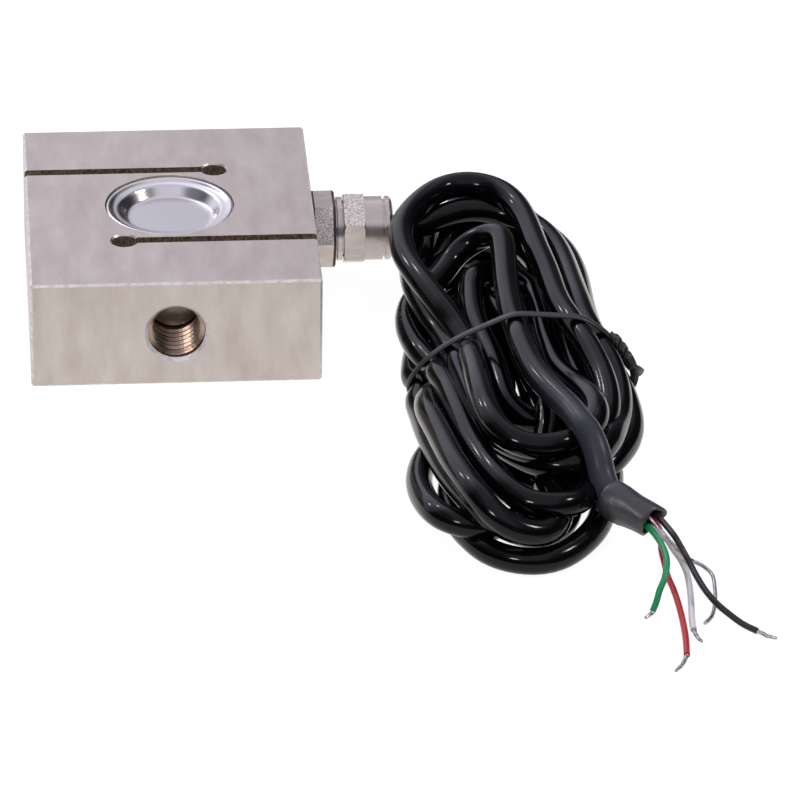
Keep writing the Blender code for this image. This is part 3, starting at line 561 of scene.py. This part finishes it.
def skin_group():
    """Slow changes of colour and gloss over a surface, and a fine grain that is felt as bumps."""
    tree, given, found = new_group(
        "skin_variation",
        (
            ("Colour", "Color"), ("Other Colour", "Color"), ("Patch Stretch", "Vector"),
            ("Patch Contrast", "Float"), ("Roughness", "Float"), ("Roughness Spread", "Float"),
            ("Grain Stretch", "Vector"), ("Grain Depth", "Float"),
        ),
        (("Colour", "Color"), ("Roughness", "Float"), ("Normal", "Vector")),
    )
    given = given.outputs
    place = add_node(tree, "TexCoord", {}).outputs["Object"]

    def noise_at(stretch, detail):
        scaled = add_node(tree, "VectorMath", {0: place, 1: given[stretch]}, operation="MULTIPLY")
        noise = add_node(tree, "TexNoise", {
            "Scale": 1.0, "Detail": detail, "Roughness": 0.6, "Vector": scaled.outputs[0],
        })
        return noise.outputs["Fac"]

    patches = noise_at("Patch Stretch", 4.0)
    grain = noise_at("Grain Stretch", 3.0)
    off_middle = maths(tree, "SUBTRACT", patches, 0.5)
    share = maths(tree, "MULTIPLY_ADD", off_middle, given["Patch Contrast"], 0.5, clamp=True)
    colour = colour_between(tree, share, given["Colour"], given["Other Colour"])
    tree.links.new(colour, found.inputs["Colour"])
    spread = maths(tree, "SUBTRACT", grain, 0.5)
    roughness = maths(
        tree, "MULTIPLY_ADD", spread, given["Roughness Spread"], given["Roughness"], clamp=True,
    )
    tree.links.new(roughness, found.inputs["Roughness"])
    raised = maths(tree, "MULTIPLY", grain, given["Grain Depth"])
    bump = add_node(tree, "Bump", {"Distance": 1.0, "Height": raised})
    tree.links.new(bump.outputs["Normal"], found.inputs["Normal"])


def finish(
    name, colour, other, roughness, metallic=0.0, patches=(150, 150, 150), contrast=1.5,
    roughness_spread=0.15, grain=(3000, 3000, 3000), grain_depth=0.00001, specular=0.5,
):
    """A material whose colour, gloss and grain come from the shared skin group."""
    made = bpy.data.materials.new(name)
    made.use_nodes = True
    tree = made.node_tree
    shader = tree.nodes["Principled BSDF"]
    given = {
        "Colour": linear(*colour), "Other Colour": linear(*other), "Patch Stretch": patches,
        "Patch Contrast": contrast, "Roughness": roughness, "Roughness Spread": roughness_spread,
        "Grain Stretch": grain, "Grain Depth": grain_depth,
    }
    skin = add_node(tree, "Group", given, node_tree=bpy.data.node_groups["skin_variation"])
    tree.links.new(skin.outputs["Colour"], shader.inputs["Base Color"])
    tree.links.new(skin.outputs["Roughness"], shader.inputs["Roughness"])
    tree.links.new(skin.outputs["Normal"], shader.inputs["Normal"])
    shader.inputs["Metallic"].default_value = metallic
    shader.inputs["Specular IOR Level"].default_value = specular
    return made


def make_finishes():
    skin_group()
    return {
        name: finish(name, *facts, **more) for name, (*facts, more) in finish_facts.items()
    }


def wear_and_sheen_jacket_end(jacket):
    """Satin jacket next to the sleeve, where its end was handled, with a paler painted sheen."""
    tree = jacket.node_tree
    shader = tree.nodes["Principled BSDF"]
    skin = next(node for node in tree.nodes if node.type == "GROUP")
    place = add_node(tree, "TexCoord", {}).outputs["Object"]
    sleeve_place = in_frame(from_mouth(sleeve_start))
    apart = add_node(tree, "VectorMath", {0: place, 1: sleeve_place}, operation="DISTANCE")
    worn_and_sheen_share = passing(tree, apart.outputs["Value"], worn_and_sheen_reach, (1.0, 0.0))
    # The paler, bluish colour is painted sheen; the added roughness below is the satin wear.
    paler = colour_between(tree, worn_and_sheen_share, skin.outputs["Colour"], linear(*painted_sheen_colour))
    tree.links.new(paler, shader.inputs["Base Color"])
    duller = maths(tree, "MULTIPLY_ADD", worn_and_sheen_share, worn_roughness, skin.outputs["Roughness"])
    tree.links.new(duller, shader.inputs["Roughness"])


# Shapes


def smooth_line(points, steps):
    """Points of one smooth line through the given ones."""
    given = [np.asarray(point, float) for point in points]
    last = len(given) - 1
    line = []
    for number in range(last):
        before, start, end, after = (
            given[min(max(number + shift, 0), last)] for shift in (-1, 0, 1, 2)
        )
        for step in range(steps):
            part = step / steps
            line.append(
                (2 * part**3 - 3 * part**2 + 1) * start
                + (part**3 - 2 * part**2 + part) * (end - before) / 2
                + (3 * part**2 - 2 * part**3) * end
                + (part**3 - part**2) * (after - start) / 2
            )
    line.append(given[-1])
    return np.array(line)


def along(line):
    """Distance of each point from the line's start."""
    return np.concatenate(((0.0,), np.cumsum(np.linalg.norm(np.diff(line, axis=0), axis=1))))


def places_at(stations, travelled, line):
    """Places on a line at the given distances from its start."""
    return np.stack([np.interp(stations, travelled, line[:, axis]) for axis in range(3)], 1)


def add_piece(name, data, finish_name, finishes):
    piece = new_object(name, data)
    data.materials.append(finishes[finish_name])
    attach(piece, "root")
    return piece


def cord_piece(name, line, radius, finish_name, finishes, sides=5):
    """A round cord along a line of millimetres."""
    data = bpy.data.curves.new(name, "CURVE")
    data.dimensions = "3D"
    data.bevel_depth = radius * millimetre
    data.bevel_resolution = sides
    data.use_fill_caps = True
    spline = data.splines.new("POLY")
    spline.points.add(len(line) - 1)
    for point, place in zip(spline.points, line):
        point.co = (*in_frame(place), 1.0)
    spline.use_smooth = True
    return add_piece(name, data, finish_name, finishes)


def mesh_piece(name, rings, finish_name, finishes, closed=False, smooth=True):
    """A skin over rings of places in millimetres that follow one another."""
    data = bpy.data.meshes.new(name)
    shape = bmesh.new()
    rows = [[shape.verts.new(in_frame(place)) for place in ring] for ring in rings]
    pairs = list(zip(rows, rows[1:]))
    if closed:
        pairs.append((rows[-1], rows[0]))
    for first, second in pairs:
        count = len(first)
        for number in range(count):
            following = (number + 1) % count
            face = (first[number], first[following], second[following], second[number])
            shape.faces.new(face)
    if not closed:
        shape.faces.new(rows[0][::-1])
        shape.faces.new(rows[-1])
    bmesh.ops.recalc_face_normals(shape, faces=shape.faces)
    for face in shape.faces:
        face.smooth = smooth
    shape.to_mesh(data)
    shape.free()
    return add_piece(name, data, finish_name, finishes)


def frames_along(line):
    """Two directions across a line at each of its points, turning as little as they can."""
    ahead = np.gradient(line, axis=0)
    ahead /= np.linalg.norm(ahead, axis=1, keepdims=True)
    side = np.cross(ahead[0], (0.0, 0.0, 1.0))
    sides = []
    for direction in ahead:
        side = side - direction * np.dot(side, direction)
        side = side / np.linalg.norm(side)
        sides.append(side)
    sides = np.array(sides)
    return sides, np.cross(ahead, sides)


def round_turns(count):
    """Angles that divide a full turn evenly."""
    return np.linspace(0, 2 * math.pi, count, endpoint=False)


# Cable


def cable_places():
    """The strands' points in a row, and 1 for each that the picture fixes."""
    places = []
    fixed = []
    for kind, points in cable_strands:
        for point in points:
            places.append(seen_place(*point) if kind == "seen" else np.array(point, float))
            fixed.append(1.0 if kind == "seen" else 0.0)
    return places, np.array(fixed)


def hold_in_tie(line):
    """Press the strands near the tie's plane into the bundle's section."""
    from_plane = np.abs(line[:, 1] - tie_y)
    near = from_plane < tie_pressed_reach
    for (x0, z0), (x1, z1) in zip(bundle_section, bundle_section[1:]):
        run = math.hypot(x1 - x0, z1 - z0)
        out_x, out_z = -(z1 - z0) / run, (x1 - x0) / run
        out = (line[:, 0] - x0) * out_x + (line[:, 2] - z0) * out_z
        out += cable_radius + 2 * tie_radius - tie_pressed_slope * from_plane
        over = np.where(near, np.maximum(out, 0.0), 0.0)
        line[:, 0] -= over * out_x
        line[:, 2] -= over * out_z


def ease_bends(line):
    """Open the bends that are too tight for the cable, and leave the others."""
    for _ in range(easing_rounds):
        reach = np.diff(line, axis=0)
        length = np.linalg.norm(reach, axis=1)
        way = reach / length[:, None]
        turned = np.linalg.norm(way[1:] - way[:-1], axis=1)
        bend_radius = (length[1:] + length[:-1]) / 2 / np.maximum(turned, 1e-6)
        tight = np.clip(easing_slope * (1 - bend_radius / tightest_bend), 0, 1)
        tight[:held_points] = tight[-held_points:] = 0
        middle = (line[:-2] + line[2:]) / 2
        line[1:-1] += easing_share * tight[:, None] * (middle - line[1:-1])
    return line


def even_points(places, fixed):
    """Points at even steps along the cable, and how firmly the picture holds each."""
    fine_steps = 12
    fine = smooth_line(places, fine_steps)
    owner = np.arange(len(fine)) / fine_steps
    travelled = along(fine)
    count = int(round(travelled[-1] / settling_step)) + 1
    stations = np.linspace(0, travelled[-1], count)
    points = places_at(stations, travelled, fine)
    for _ in range(route_smoothing_rounds):
        for weight in route_smoothing:
            points[1:-1] += weight * ((points[:-2] + points[2:]) / 2 - points[1:-1])
    share = np.interp(np.interp(stations, travelled, owner), np.arange(len(fixed)), fixed)
    return points, share, travelled[-1] / (count - 1)


def close_pairs(line, apart):
    """Pairs of points that may come to touch, at least so many points apart on the cable."""
    square = (line**2).sum(1)
    gaps = square[:, None] + square[None, :] - 2 * line @ line.T
    return np.nonzero(np.triu(gaps < (strand_spacing + pair_margin) ** 2, apart))


def resist_bending(line):
    """Stiffness against bends, felt over short and over longer spans."""
    for span, stiffness in cable_stiffness:
        bow = np.zeros_like(line)
        bow[span:-span] = (line[:-2 * span] + line[2 * span:]) / 2 - line[span:-span]
        change = np.zeros_like(line)
        change[span:-span] = (bow[:-2 * span] + bow[2 * span:]) / 2 - bow[span:-span]
        line -= stiffness * change


def even_out(line):
    """Bring each step between points near the usual length of the steps around it."""
    reach = line[1:] - line[:-1]
    length = np.linalg.norm(reach, axis=1)
    padded = np.pad(length, usual_steps // 2, mode="edge")
    usual = np.convolve(padded, np.full(usual_steps, 1 / usual_steps), mode="valid")
    pull = (evening_pull * (length - usual) / length)[:, None] * reach
    line[:-1] += pull
    line[1:] -= pull


def part_strands(line, pairs, firm, share, sight):
    """Push touching strands apart, where the picture holds them only along the line of sight."""
    first, second = pairs
    count = len(line)
    between = line[first] - line[second]
    gap = np.linalg.norm(between, axis=1) + 1e-9
    lack = np.maximum(strand_spacing - gap, 0.0)
    touch = np.bincount(first, lack > 0, count) + np.bincount(second, lack > 0, count)
    push = between * (firm * lack / gap)[:, None]
    given = np.stack([
        np.bincount(first, push[:, axis], count) - np.bincount(second, push[:, axis], count)
        for axis in range(3)
    ], 1)
    given /= np.sqrt(np.maximum(touch, 1))[:, None]
    deeper = (given * sight).sum(1, keepdims=True) * sight
    line += deeper + (given - deeper) * (1 - picture_hold * share)[:, None]


def keep_in_room(line):
    """Keep the strands on the surface, in the tie, beside the beam and clear of the gland."""
    nearness = np.clip(1 - np.abs(line[:, 1] - tie_y) / tie_lift_reach, 0, 1) ** 0.5
    lowest = cable_radius + (strand_height_at_tie - cable_radius) * nearness
    line[:, 2] = np.clip(line[:, 2], lowest, highest_strand)
    least = np.where(line[:, 1] > tie_y, leftmost_behind_tie, leftmost_strand)
    least[:mouth_points] = mouth[0]
    line[:, 0] = np.maximum(line[:, 0], least)
    hold_in_tie(line)
    from_axis = np.hypot(line[:, 1] - mouth[1], line[:, 2] - mouth_height)
    blocked = (line[:, 0] < gland_keepout_end) & (from_axis < gland_keepout_radius)
    blocked[:mouth_points + 1] = False
    line[blocked, 0] += keepout_push * (gland_keepout_end - line[blocked, 0])


def settle_cable():
    """Let the strands find room beside and on each other, the surface, the tie and the gland."""
    wanted, share, step = even_points(*cable_places())
    sight = wanted - camera_eye
    sight /= np.linalg.norm(sight, axis=1, keepdims=True)
    line = wanted.copy()
    apart = int(math.ceil(neighbour_reach / step))
    for turn in range(settling_rounds):
        firm = firm_push if turn < settling_rounds - last_rounds else gentle_push
        if turn % pair_rounds == 0:
            pairs = close_pairs(line, apart)
        off = wanted - line
        depth = (off * sight).sum(1, keepdims=True) * sight
        line += (picture_pull * share + free_pull)[:, None] * (off - depth) + free_pull * depth
        resist_bending(line)
        for _ in range(inner_rounds):
            even_out(line)
        for _ in range(inner_rounds):
            part_strands(line, pairs, firm, share, sight)
            keep_in_room(line)
        line[:held_points] = wanted[:held_points]
        line[-held_points:] = wanted[-held_points:]
    return smooth_line(ease_bends(line), settled_steps)


def make_cable(finishes):
    line = settle_cable()
    cable = cord_piece("hank_cable", line, cable_radius, "cable_jacket", finishes, sides=8)
    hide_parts("cable_lead_out", "cable_hank", "cable_tail")
    return cable, line


def tie_loop(line):
    """The tie's path: round every strand that crosses its plane, pulled tight."""
    crossings = []
    for first, second in zip(line, line[1:]):
        if (first[1] - tie_y) * (second[1] - tie_y) < 0:
            part = (tie_y - first[1]) / (second[1] - first[1])
            crossings.append(first + part * (second - first))
    crossings = np.array(crossings)
    reach = cable_radius + tie_radius
    loop = []
    for turn in round_turns(tie_points):
        way = np.array((math.cos(turn), math.sin(turn)))
        outermost = crossings[np.argmax(crossings[:, [0, 2]] @ way)]
        loop.append((outermost[0] + reach * way[0], tie_y, outermost[2] + reach * way[1]))
    closed = np.array(loop + loop[:1])
    travelled = along(closed)
    stations = np.linspace(0, travelled[-1], tie_points, endpoint=False)
    even = places_at(stations, travelled, closed)
    for _ in range(tie_smoothing_rounds):
        even = (np.roll(even, 1, 0) + 2 * even + np.roll(even, -1, 0)) / 4
    return even


def make_tie(line, finishes):
    loop = tie_loop(line)
    middle = loop.mean(0)
    rings = []
    for place, way in zip(loop, np.roll(loop, -1, 0) - np.roll(loop, 1, 0)):
        outward = np.array((way[2], 0.0, -way[0])) / math.hypot(way[0], way[2])
        if outward @ (place - middle) < 0:
            outward = -outward
        rings.append([
            place + np.array((0, 1, 0)) * tie_half_width * math.cos(turn)
            + outward * tie_half_thickness * (math.sin(turn) - tie_band_sink)
            for turn in round_turns(tie_band_sides)
        ])
    band = mesh_piece("tie_band", rings, "tie_plastic", finishes, closed=True)
    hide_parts("twist_tie")
    start = loop[np.argmax(loop[:, [0, 2]] @ np.array(tie_end_way))]
    for number, shifts in enumerate(tie_end_shifts):
        path = smooth_line([start + np.array(shift) for shift in shifts], tie_end_steps)
        end = twisted_tie_end(f"tie_end_{number + 1}", path, number * math.pi, finishes)


def twisted_tie_end(name, path, phase, finishes):
    """One end of the tie, a flat strip wound round the other end and then bent away."""
    side, up = frames_along(path)
    rings = []
    for number, travelled in enumerate(along(path)):
        turned = phase + 2 * math.pi * min(travelled, tie_twist_length) / tie_twist_pitch
        apart = tie_twist_radius * np.clip(travelled, *tie_twist_opening)
        across = side[number] * math.cos(turned) + up[number] * math.sin(turned)
        flat = -side[number] * math.sin(turned) + up[number] * math.cos(turned)
        rings.append([
            path[number] + across * (apart + tie_end_half_thickness * math.sin(step))
            + flat * tie_end_half_width * math.cos(step)
            for step in round_turns(tie_end_sides)
        ])
    return mesh_piece(name, rings, "tie_plastic", finishes)


# Sleeve and lead wires


def from_mouth(point):
    return np.asarray(point, float) + mouth


def make_sleeve(finishes):
    """The shrunk sleeve, wavy all round, with a tongue at its mouth."""
    start, end = from_mouth(sleeve_start), from_mouth(sleeve_end)
    length = np.linalg.norm(end - start)
    axis = (end - start) / length
    side = np.cross(axis, (0, 0, 1))
    side /= np.linalg.norm(side)
    up = np.cross(side, axis)
    rings = []
    for part, radius in sleeve_profile:
        ring = []
        for turn in round_turns(sleeve_sides):
            wobble = 1
            for height, waves, twist in sleeve_waves:
                wobble += height * math.sin(waves * turn + twist * part)
            tongue = sleeve_tongue * part**4 * max(0.0, math.cos(turn - sleeve_tongue_turn)) ** 2
            ring.append(
                start + axis * (length * part + tongue)
                + (side * math.cos(turn) + up * math.sin(turn)) * radius * wobble
            )
        rings.append(ring)
    sleeve = mesh_piece("shrunk_sleeve", rings, "shrink_sleeve", finishes, closed=True)
    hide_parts("heat_shrink_sleeve")
    return sleeve


def make_leads(finishes):
    for colour, route in lead_routes.items():
        finish_name = f"wire_{colour}"
        line = smooth_line([from_mouth(point) for point in route], lead_steps)
        lead = cord_piece(f"insulated_lead_{colour}", line, wire_radius, finish_name, finishes)
        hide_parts(f"lead_wire_{colour}")
        tip_points = [line[-1]] + [from_mouth(point) for point in tip_routes[colour]]
        tip_line = smooth_line(tip_points, tip_steps)
        tip = twisted_strands(f"tinned_end_{colour}", tip_line, finishes)
        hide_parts(f"tinned_tip_{colour}")
    line = smooth_line([from_mouth(point) for point in drain_route], lead_steps)
    drain = cord_piece("twisted_drain", line, drain_radius, "tinned_copper", finishes)
    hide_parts("drain_wire")


def twisted_strands(name, line, finishes):
    """A tinned bundle of fine strands: a thin rod whose section is a twisted rosette."""
    side, up = frames_along(line)
    travelled = along(line)
    rings = []
    for number, place in enumerate(line):
        part = travelled[number] / travelled[-1]
        radius = tip_radius * (1 - tip_taper * part**3)
        ring = []
        for turn in round_turns(tip_sides):
            lobes = 1 + tip_lobe_height * math.cos(
                tip_lobes * turn + tip_twist * travelled[number]
            )
            across = side[number] * math.cos(turn) + up[number] * math.sin(turn)
            ring.append(place + across * radius * lobes)
        rings.append(ring)
    return mesh_piece(name, rings, "tinned_copper", finishes)


# Block and gland


def open_copy(name, node, finish_names, finishes):
    """A piece with a copy of a solid's mesh, and the mesh opened for changes."""
    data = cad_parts[node].data.copy()
    data.name = name
    data.materials.clear()
    for finish_name in finish_names:
        data.materials.append(finishes[finish_name])
    piece = new_object(name, data)
    shape = bmesh.new()
    shape.from_mesh(data)
    bmesh.ops.remove_doubles(shape, verts=shape.verts, dist=weld_distance)
    bmesh.ops.dissolve_limit(
        shape, angle_limit=flat_angle, verts=shape.verts, edges=shape.edges,
    )
    return piece, shape


def close_copy(piece, shape, node):
    """Write the mesh back with its sharp edges marked, and round them off a little."""
    for edge in shape.edges:
        if len(edge.link_faces) == 2:
            edge.smooth = edge.calc_face_angle(0.0) < sharp_angle
    shape.to_mesh(piece.data)
    shape.free()
    bevel = piece.modifiers.new("soft_edges", "BEVEL")
    bevel.limit_method = "ANGLE"
    bevel.angle_limit = bevel_angle
    bevel.width = edge_radius * millimetre
    bevel.segments = 2
    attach(piece, "root")
    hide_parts(node)
    return bevel


def make_block(finishes):
    """The block with its own finishes in the slots and bores, and a painted highlight on its
    edges.
    """
    finish_names = ("block_nickel", "slot_wall", "bored_steel", "block_edge_painted_highlight")
    piece, shape = open_copy("nickel_block", "s_beam_body", finish_names, finishes)
    half_width, half_length = beam_width / 2, beam_length / 2
    slack = 0.05
    rim = 0.6
    upright_below = 0.3
    slanting_below = 0.9
    for face in shape.faces:
        place = (face.calc_center_median() - Vector(beam_middle * millimetre)) / millimetre
        across, lengthwise = abs(place.x), abs(place.y)
        side_on = abs(face.normal.z) < upright_below
        slot = abs(lengthwise - slot_offset) < relief_radius + slack
        window = math.hypot(place.x, place.y) < window_radius + slack
        bore = math.hypot(place.x, place.z - beam_height / 2) < load_thread_radius + slack
        slanting = max(abs(part) for part in face.normal) < slanting_below
        face.smooth = True
        face.material_index = 0
        if side_on and slot and not window and across < half_width - slack:
            face.material_index = finish_names.index("slot_wall")
        if bore and half_length - load_bore_depth < lengthwise < half_length - slack:
            face.material_index = finish_names.index("bored_steel")
        # Slanting faces along the block's edges get the painted highlight.
        if slanting and (across > half_width - rim or lengthwise > half_length - rim):
            face.material_index = finish_names.index("block_edge_painted_highlight")
    bevel = close_copy(piece, shape, "s_beam_body")
    # The bevel's faces get the same painted highlight.
    bevel.material = finish_names.index("block_edge_painted_highlight")


def make_thread(name, end, finishes):
    """The turns of a tapped load hole, a ridge that winds inward from one end of the block."""
    turn_steps = thread_turn_steps
    steps = int((load_thread_depth - thread_run_out) / thread_pitch * turn_steps)
    root, crest = thread_root_radius, thread_crest_radius
    profile = (
        (root, -thread_root_half), (crest, -thread_crest_half), (crest, thread_crest_half),
        (root, thread_root_half),
    )
    rings = []
    for number in range(steps + 1):
        turn = 2 * math.pi * number / turn_steps
        depth = thread_start + thread_pitch * number / turn_steps
        left = 2 * (steps - number) / turn_steps + thread_end_share
        fade = min(1.0, 2 * number / turn_steps, left)
        ring = []
        for radius, shift in profile:
            kept = root - (root - radius) * fade
            ring.append((
                kept * math.cos(turn) * -end,
                end * (beam_length / 2 - depth - shift),
                beam_height / 2 + kept * math.sin(turn),
            ))
        rings.append(ring)
    thread = mesh_piece(name, rings, "bored_steel", finishes, smooth=False)


def make_cup(name, node, face_height, side, finishes):
    """A pressed cup: beaded rim, flat flange, cone and flat bottom."""
    underside = (cup_lower_edge,) + tuple(
        (radius - cup_inset, height - cup_sheet) for radius, height in cup_profile[1:]
    )
    rings = []
    for radius, height in cup_profile[::-1] + underside:
        rings.append([
            (radius * math.cos(turn), radius * math.sin(turn) * side, face_height + side * height)
            for turn in round_turns(cup_sides)
        ])
    cup = mesh_piece(name, rings, "cup_steel", finishes)
    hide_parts(node)


def make_gland_part(name, node, corner_lean, rough_lean, finishes):
    """A gland part turned about its axis so that its hexagon stands as the real one does."""
    finish_names = ("gland_nickel", "gland_cast", "gland_gap_painted_shade")
    piece, shape = open_copy(name, node, finish_names, finishes)
    axis_place = in_frame((0.0, mouth[1], mouth_height))
    for station in painted_gap_shade_stations:
        bmesh.ops.bisect_plane(
            shape, geom=shape.verts[:] + shape.edges[:] + shape.faces[:],
            plane_co=in_frame((station, 0, 0)), plane_no=(1, 0, 0),
        )

    def reach(vertex):
        return math.hypot(vertex.co.y - axis_place.y, vertex.co.z - axis_place.z)

    corner = max(shape.verts, key=reach).co
    lean = math.atan2(axis_place.y - corner.y, corner.z - axis_place.z)
    turn = Matrix.Rotation(math.radians(corner_lean) - lean, 3, "X")
    bmesh.ops.rotate(shape, cent=axis_place, matrix=turn, verts=shape.verts)
    bmesh.ops.recalc_face_normals(shape, faces=shape.faces)
    rough_angle = math.radians(rough_lean)
    rough_way = Vector((0.0, -math.sin(rough_angle), math.cos(rough_angle)))
    for face in shape.faces:
        far = max(reach(vertex) for vertex in face.verts) / millimetre
        station = face.calc_center_median().x / millimetre - beam_middle[0]
        face.smooth = True
        face.material_index = 0
        facing = face.normal.dot(rough_way)
        if far > hexagon_rough_reach and facing > hexagon_rough_facing:
            face.material_index = finish_names.index("gland_cast")
        # Faces in the gaps beside the fixed hexagon get the painted shade.
        if beam_width / 2 < station < painted_gap_shade_stations[0] or painted_gap_shade_stations[1] < station < neck_end:
            face.material_index = finish_names.index("gland_gap_painted_shade")
    close_copy(piece, shape, node)


plain_nodes = {
    "gland_nickel": ("gland_thrust_washer",),
    "seal_rubber": ("gland_seal_ring", "gland_grommet"),
    "cable_jacket": ("cable_gland_run",),
    "gauge_foil": (
        "strain_gauge_upper_left", "strain_gauge_upper_right", "strain_gauge_lower_left",
        "strain_gauge_lower_right",
    ),
    "strip_board": ("terminal_strip_upper", "terminal_strip_lower"),
    "resistor_ceramic": ("trim_resistor_1", "trim_resistor_2"),
    "enamel": ("link_lead_left", "link_lead_right"),
    "wire_red": ("core_lead_red",),
    "wire_green": ("core_lead_green",),
    "wire_white": ("core_lead_white",),
    "wire_black": ("core_lead_black",),
}


def dress_nodes(finishes):
    """Finishes for the solids that keep their own shape."""
    for finish_name, nodes in plain_nodes.items():
        for node in nodes:
            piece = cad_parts[node]
            piece.material_slots[0].link = "DATA"
            piece.material_slots[0].material = finishes[finish_name]


# Surroundings

# Surface that the cell lies on. Mirror rays see it dark from the second distance on.
floor_width = 8.0
floor_colour = (0.86, 0.86, 0.86, 1)
floor_glow = 1.18
floor_glow_share = 0.8
floor_lit_reach = (0.14, 0.35)
floor_far_colour = (0.05, 0.05, 0.055, 1)

# Broad screen that the cell reflects, and the paler part overhead. A reach is a pair of cosines
# or of shares of a direction, between which the brightness changes.
studio_colour = (0.9, 0.92, 1.06, 1)
screen_way = (-0.5, 0.8, 0.35)
screen_reach = (0.7, 0.97)
screen_strength = 1.08
overhead_reach = (0.44, 0.66)
overhead_strength = (0.11, 0.85)
overhead_side_reach = (0.3, 0.6)
overhead_side_share = (1.0, 0.3)

# Lamps: azimuth in degrees, 0 at the front and 90 on the right, elevation, size in metres,
# radiance and colour.
lamp_aim = (0.02, -0.02, 0.01)
lamp_distance = 1.1
lamp_facts = {
    "front_lamp": (-32, 34, (0.2, 0.11), 38.0, (1.0, 0.94, 0.92)),
    "right_lamp": (85, 46, (0.2, 0.11), 40.0, (1.0, 0.94, 0.92)),
    "back_upper_lamp": (204, 42, (0.09, 0.05), 36.0, (1.0, 0.95, 0.94)),
    "back_lower_lamp": (219, 27, (0.09, 0.05), 36.0, (1.0, 0.95, 0.94)),
}


def make_floor():
    """A white surface that keeps a faint shadow."""
    data = bpy.data.meshes.new("white_surface")
    half = floor_width / 2
    corners = [(-half, -half, 0), (half, -half, 0), (half, half, 0), (-half, half, 0)]
    data.from_pydata(corners, [], [(0, 1, 2, 3)])
    floor = new_object("white_surface", data)
    made = bpy.data.materials.new("white_surface")
    made.use_nodes = True
    tree = made.node_tree
    tree.nodes.clear()
    ray = add_node(tree, "LightPath", {}).outputs
    direct = maths(tree, "MAXIMUM", ray["Is Camera Ray"], ray["Is Glossy Ray"])
    through = maths(tree, "MAXIMUM", direct, ray["Is Transmission Ray"])
    share = maths(tree, "MULTIPLY", through, floor_glow_share)
    plain = add_node(tree, "BsdfDiffuse", {"Color": floor_colour})
    glow = add_node(tree, "Emission", {"Color": (1, 1, 1, 1), "Strength": floor_glow})
    lit = add_node(tree, "MixShader", {0: share, 1: plain.outputs[0], 2: glow.outputs[0]})
    place = add_node(tree, "TexCoord", {}).outputs["Object"]
    away = add_node(tree, "VectorMath", {0: place}, operation="LENGTH").outputs["Value"]
    beyond = passing(tree, away, floor_lit_reach, change="LINEAR")
    unlit = maths(tree, "MULTIPLY", ray["Is Glossy Ray"], beyond)
    dark = add_node(tree, "Emission", {"Color": floor_far_colour})
    shaded = add_node(tree, "MixShader", {0: unlit, 1: lit.outputs[0], 2: dark.outputs[0]})
    add_node(tree, "OutputMaterial", {"Surface": shaded.outputs[0]})
    data.materials.append(made)


def make_surroundings():
    """Dim surroundings with a broad bluish screen behind the cell on its left."""
    world = bpy.data.worlds.new("studio")
    bpy.context.scene.world = world
    world.use_nodes = True
    tree = world.node_tree
    tree.nodes.clear()
    ray = add_node(tree, "LightPath", {}).outputs
    way = add_node(tree, "TexCoord", {}).outputs["Generated"]
    towards_screen = add_node(
        tree, "VectorMath", {0: way, 1: Vector(screen_way).normalized()}, operation="DOT_PRODUCT",
    )
    screen = passing(
        tree, towards_screen.outputs["Value"], screen_reach, (0.0, screen_strength),
    )
    parts = add_node(tree, "SeparateXYZ", {0: way}).outputs
    overhead = passing(tree, parts["Z"], overhead_reach, overhead_strength)
    sideways = maths(tree, "ABSOLUTE", parts["X"])
    narrow = passing(tree, sideways, overhead_side_reach, overhead_side_share)
    above = maths(tree, "MULTIPLY", overhead, narrow)
    brightness = maths(tree, "ADD", screen, above)
    soft = add_node(tree, "Background", {"Color": studio_colour, "Strength": brightness})
    white = add_node(tree, "Background", {"Color": (1, 1, 1, 1), "Strength": 1.0})
    seen = add_node(
        tree, "MixShader",
        {0: ray["Is Camera Ray"], 1: soft.outputs[0], 2: white.outputs[0]},
    )
    add_node(tree, "OutputWorld", {"Surface": seen.outputs[0]})


def make_lamp(name, azimuth, elevation, size, radiance, colour):
    """A soft rectangular lamp that looks at the cell."""
    data = bpy.data.lights.new(name, "AREA")
    data.shape = "RECTANGLE"
    data.size, data.size_y = size
    data.energy = radiance * math.pi * size[0] * size[1]
    data.color = colour
    lamp = new_object(name, data)
    round_about, rise = math.radians(azimuth), math.radians(elevation)
    way = Vector((
        math.sin(round_about) * math.cos(rise), -math.cos(round_about) * math.cos(rise),
        math.sin(rise),
    ))
    lamp.location = Vector(lamp_aim) + way * lamp_distance
    lamp.rotation_euler = way.to_track_quat("Z", "Y").to_euler()


def make_lamps():
    for name, facts in lamp_facts.items():
        make_lamp(name, *facts)


def main():
    scene = bpy.context.scene
    scene.view_settings.view_transform = "Standard"
    place_camera()
    finishes = make_finishes()
    wear_and_sheen_jacket_end(finishes["worn_and_sheen_jacket"])
    cable, line = make_cable(finishes)
    sleeve = make_sleeve(finishes)
    # The handled end next to the sleeve: satin, with a paler painted sheen.
    handled_and_sheen_end = cord_piece(
        "handled_and_sheen_end", line[-worn_and_sheen_points:], cable_radius + worn_and_sheen_skin, "worn_and_sheen_jacket", finishes,
        sides=8,
    )
    make_leads(finishes)
    make_tie(line, finishes)
    make_block(finishes)
    make_thread("load_thread_near", -1, finishes)
    make_thread("load_thread_far", 1, finishes)
    make_cup("beaded_cup_upper", "window_cup_upper", beam_height, 1, finishes)
    make_cup("beaded_cup_lower", "window_cup_lower", 0.0, -1, finishes)
    for part in turned_gland_parts:
        make_gland_part(*part, finishes)
    dress_nodes(finishes)
    make_floor()
    make_surroundings()
    make_lamps()


main()
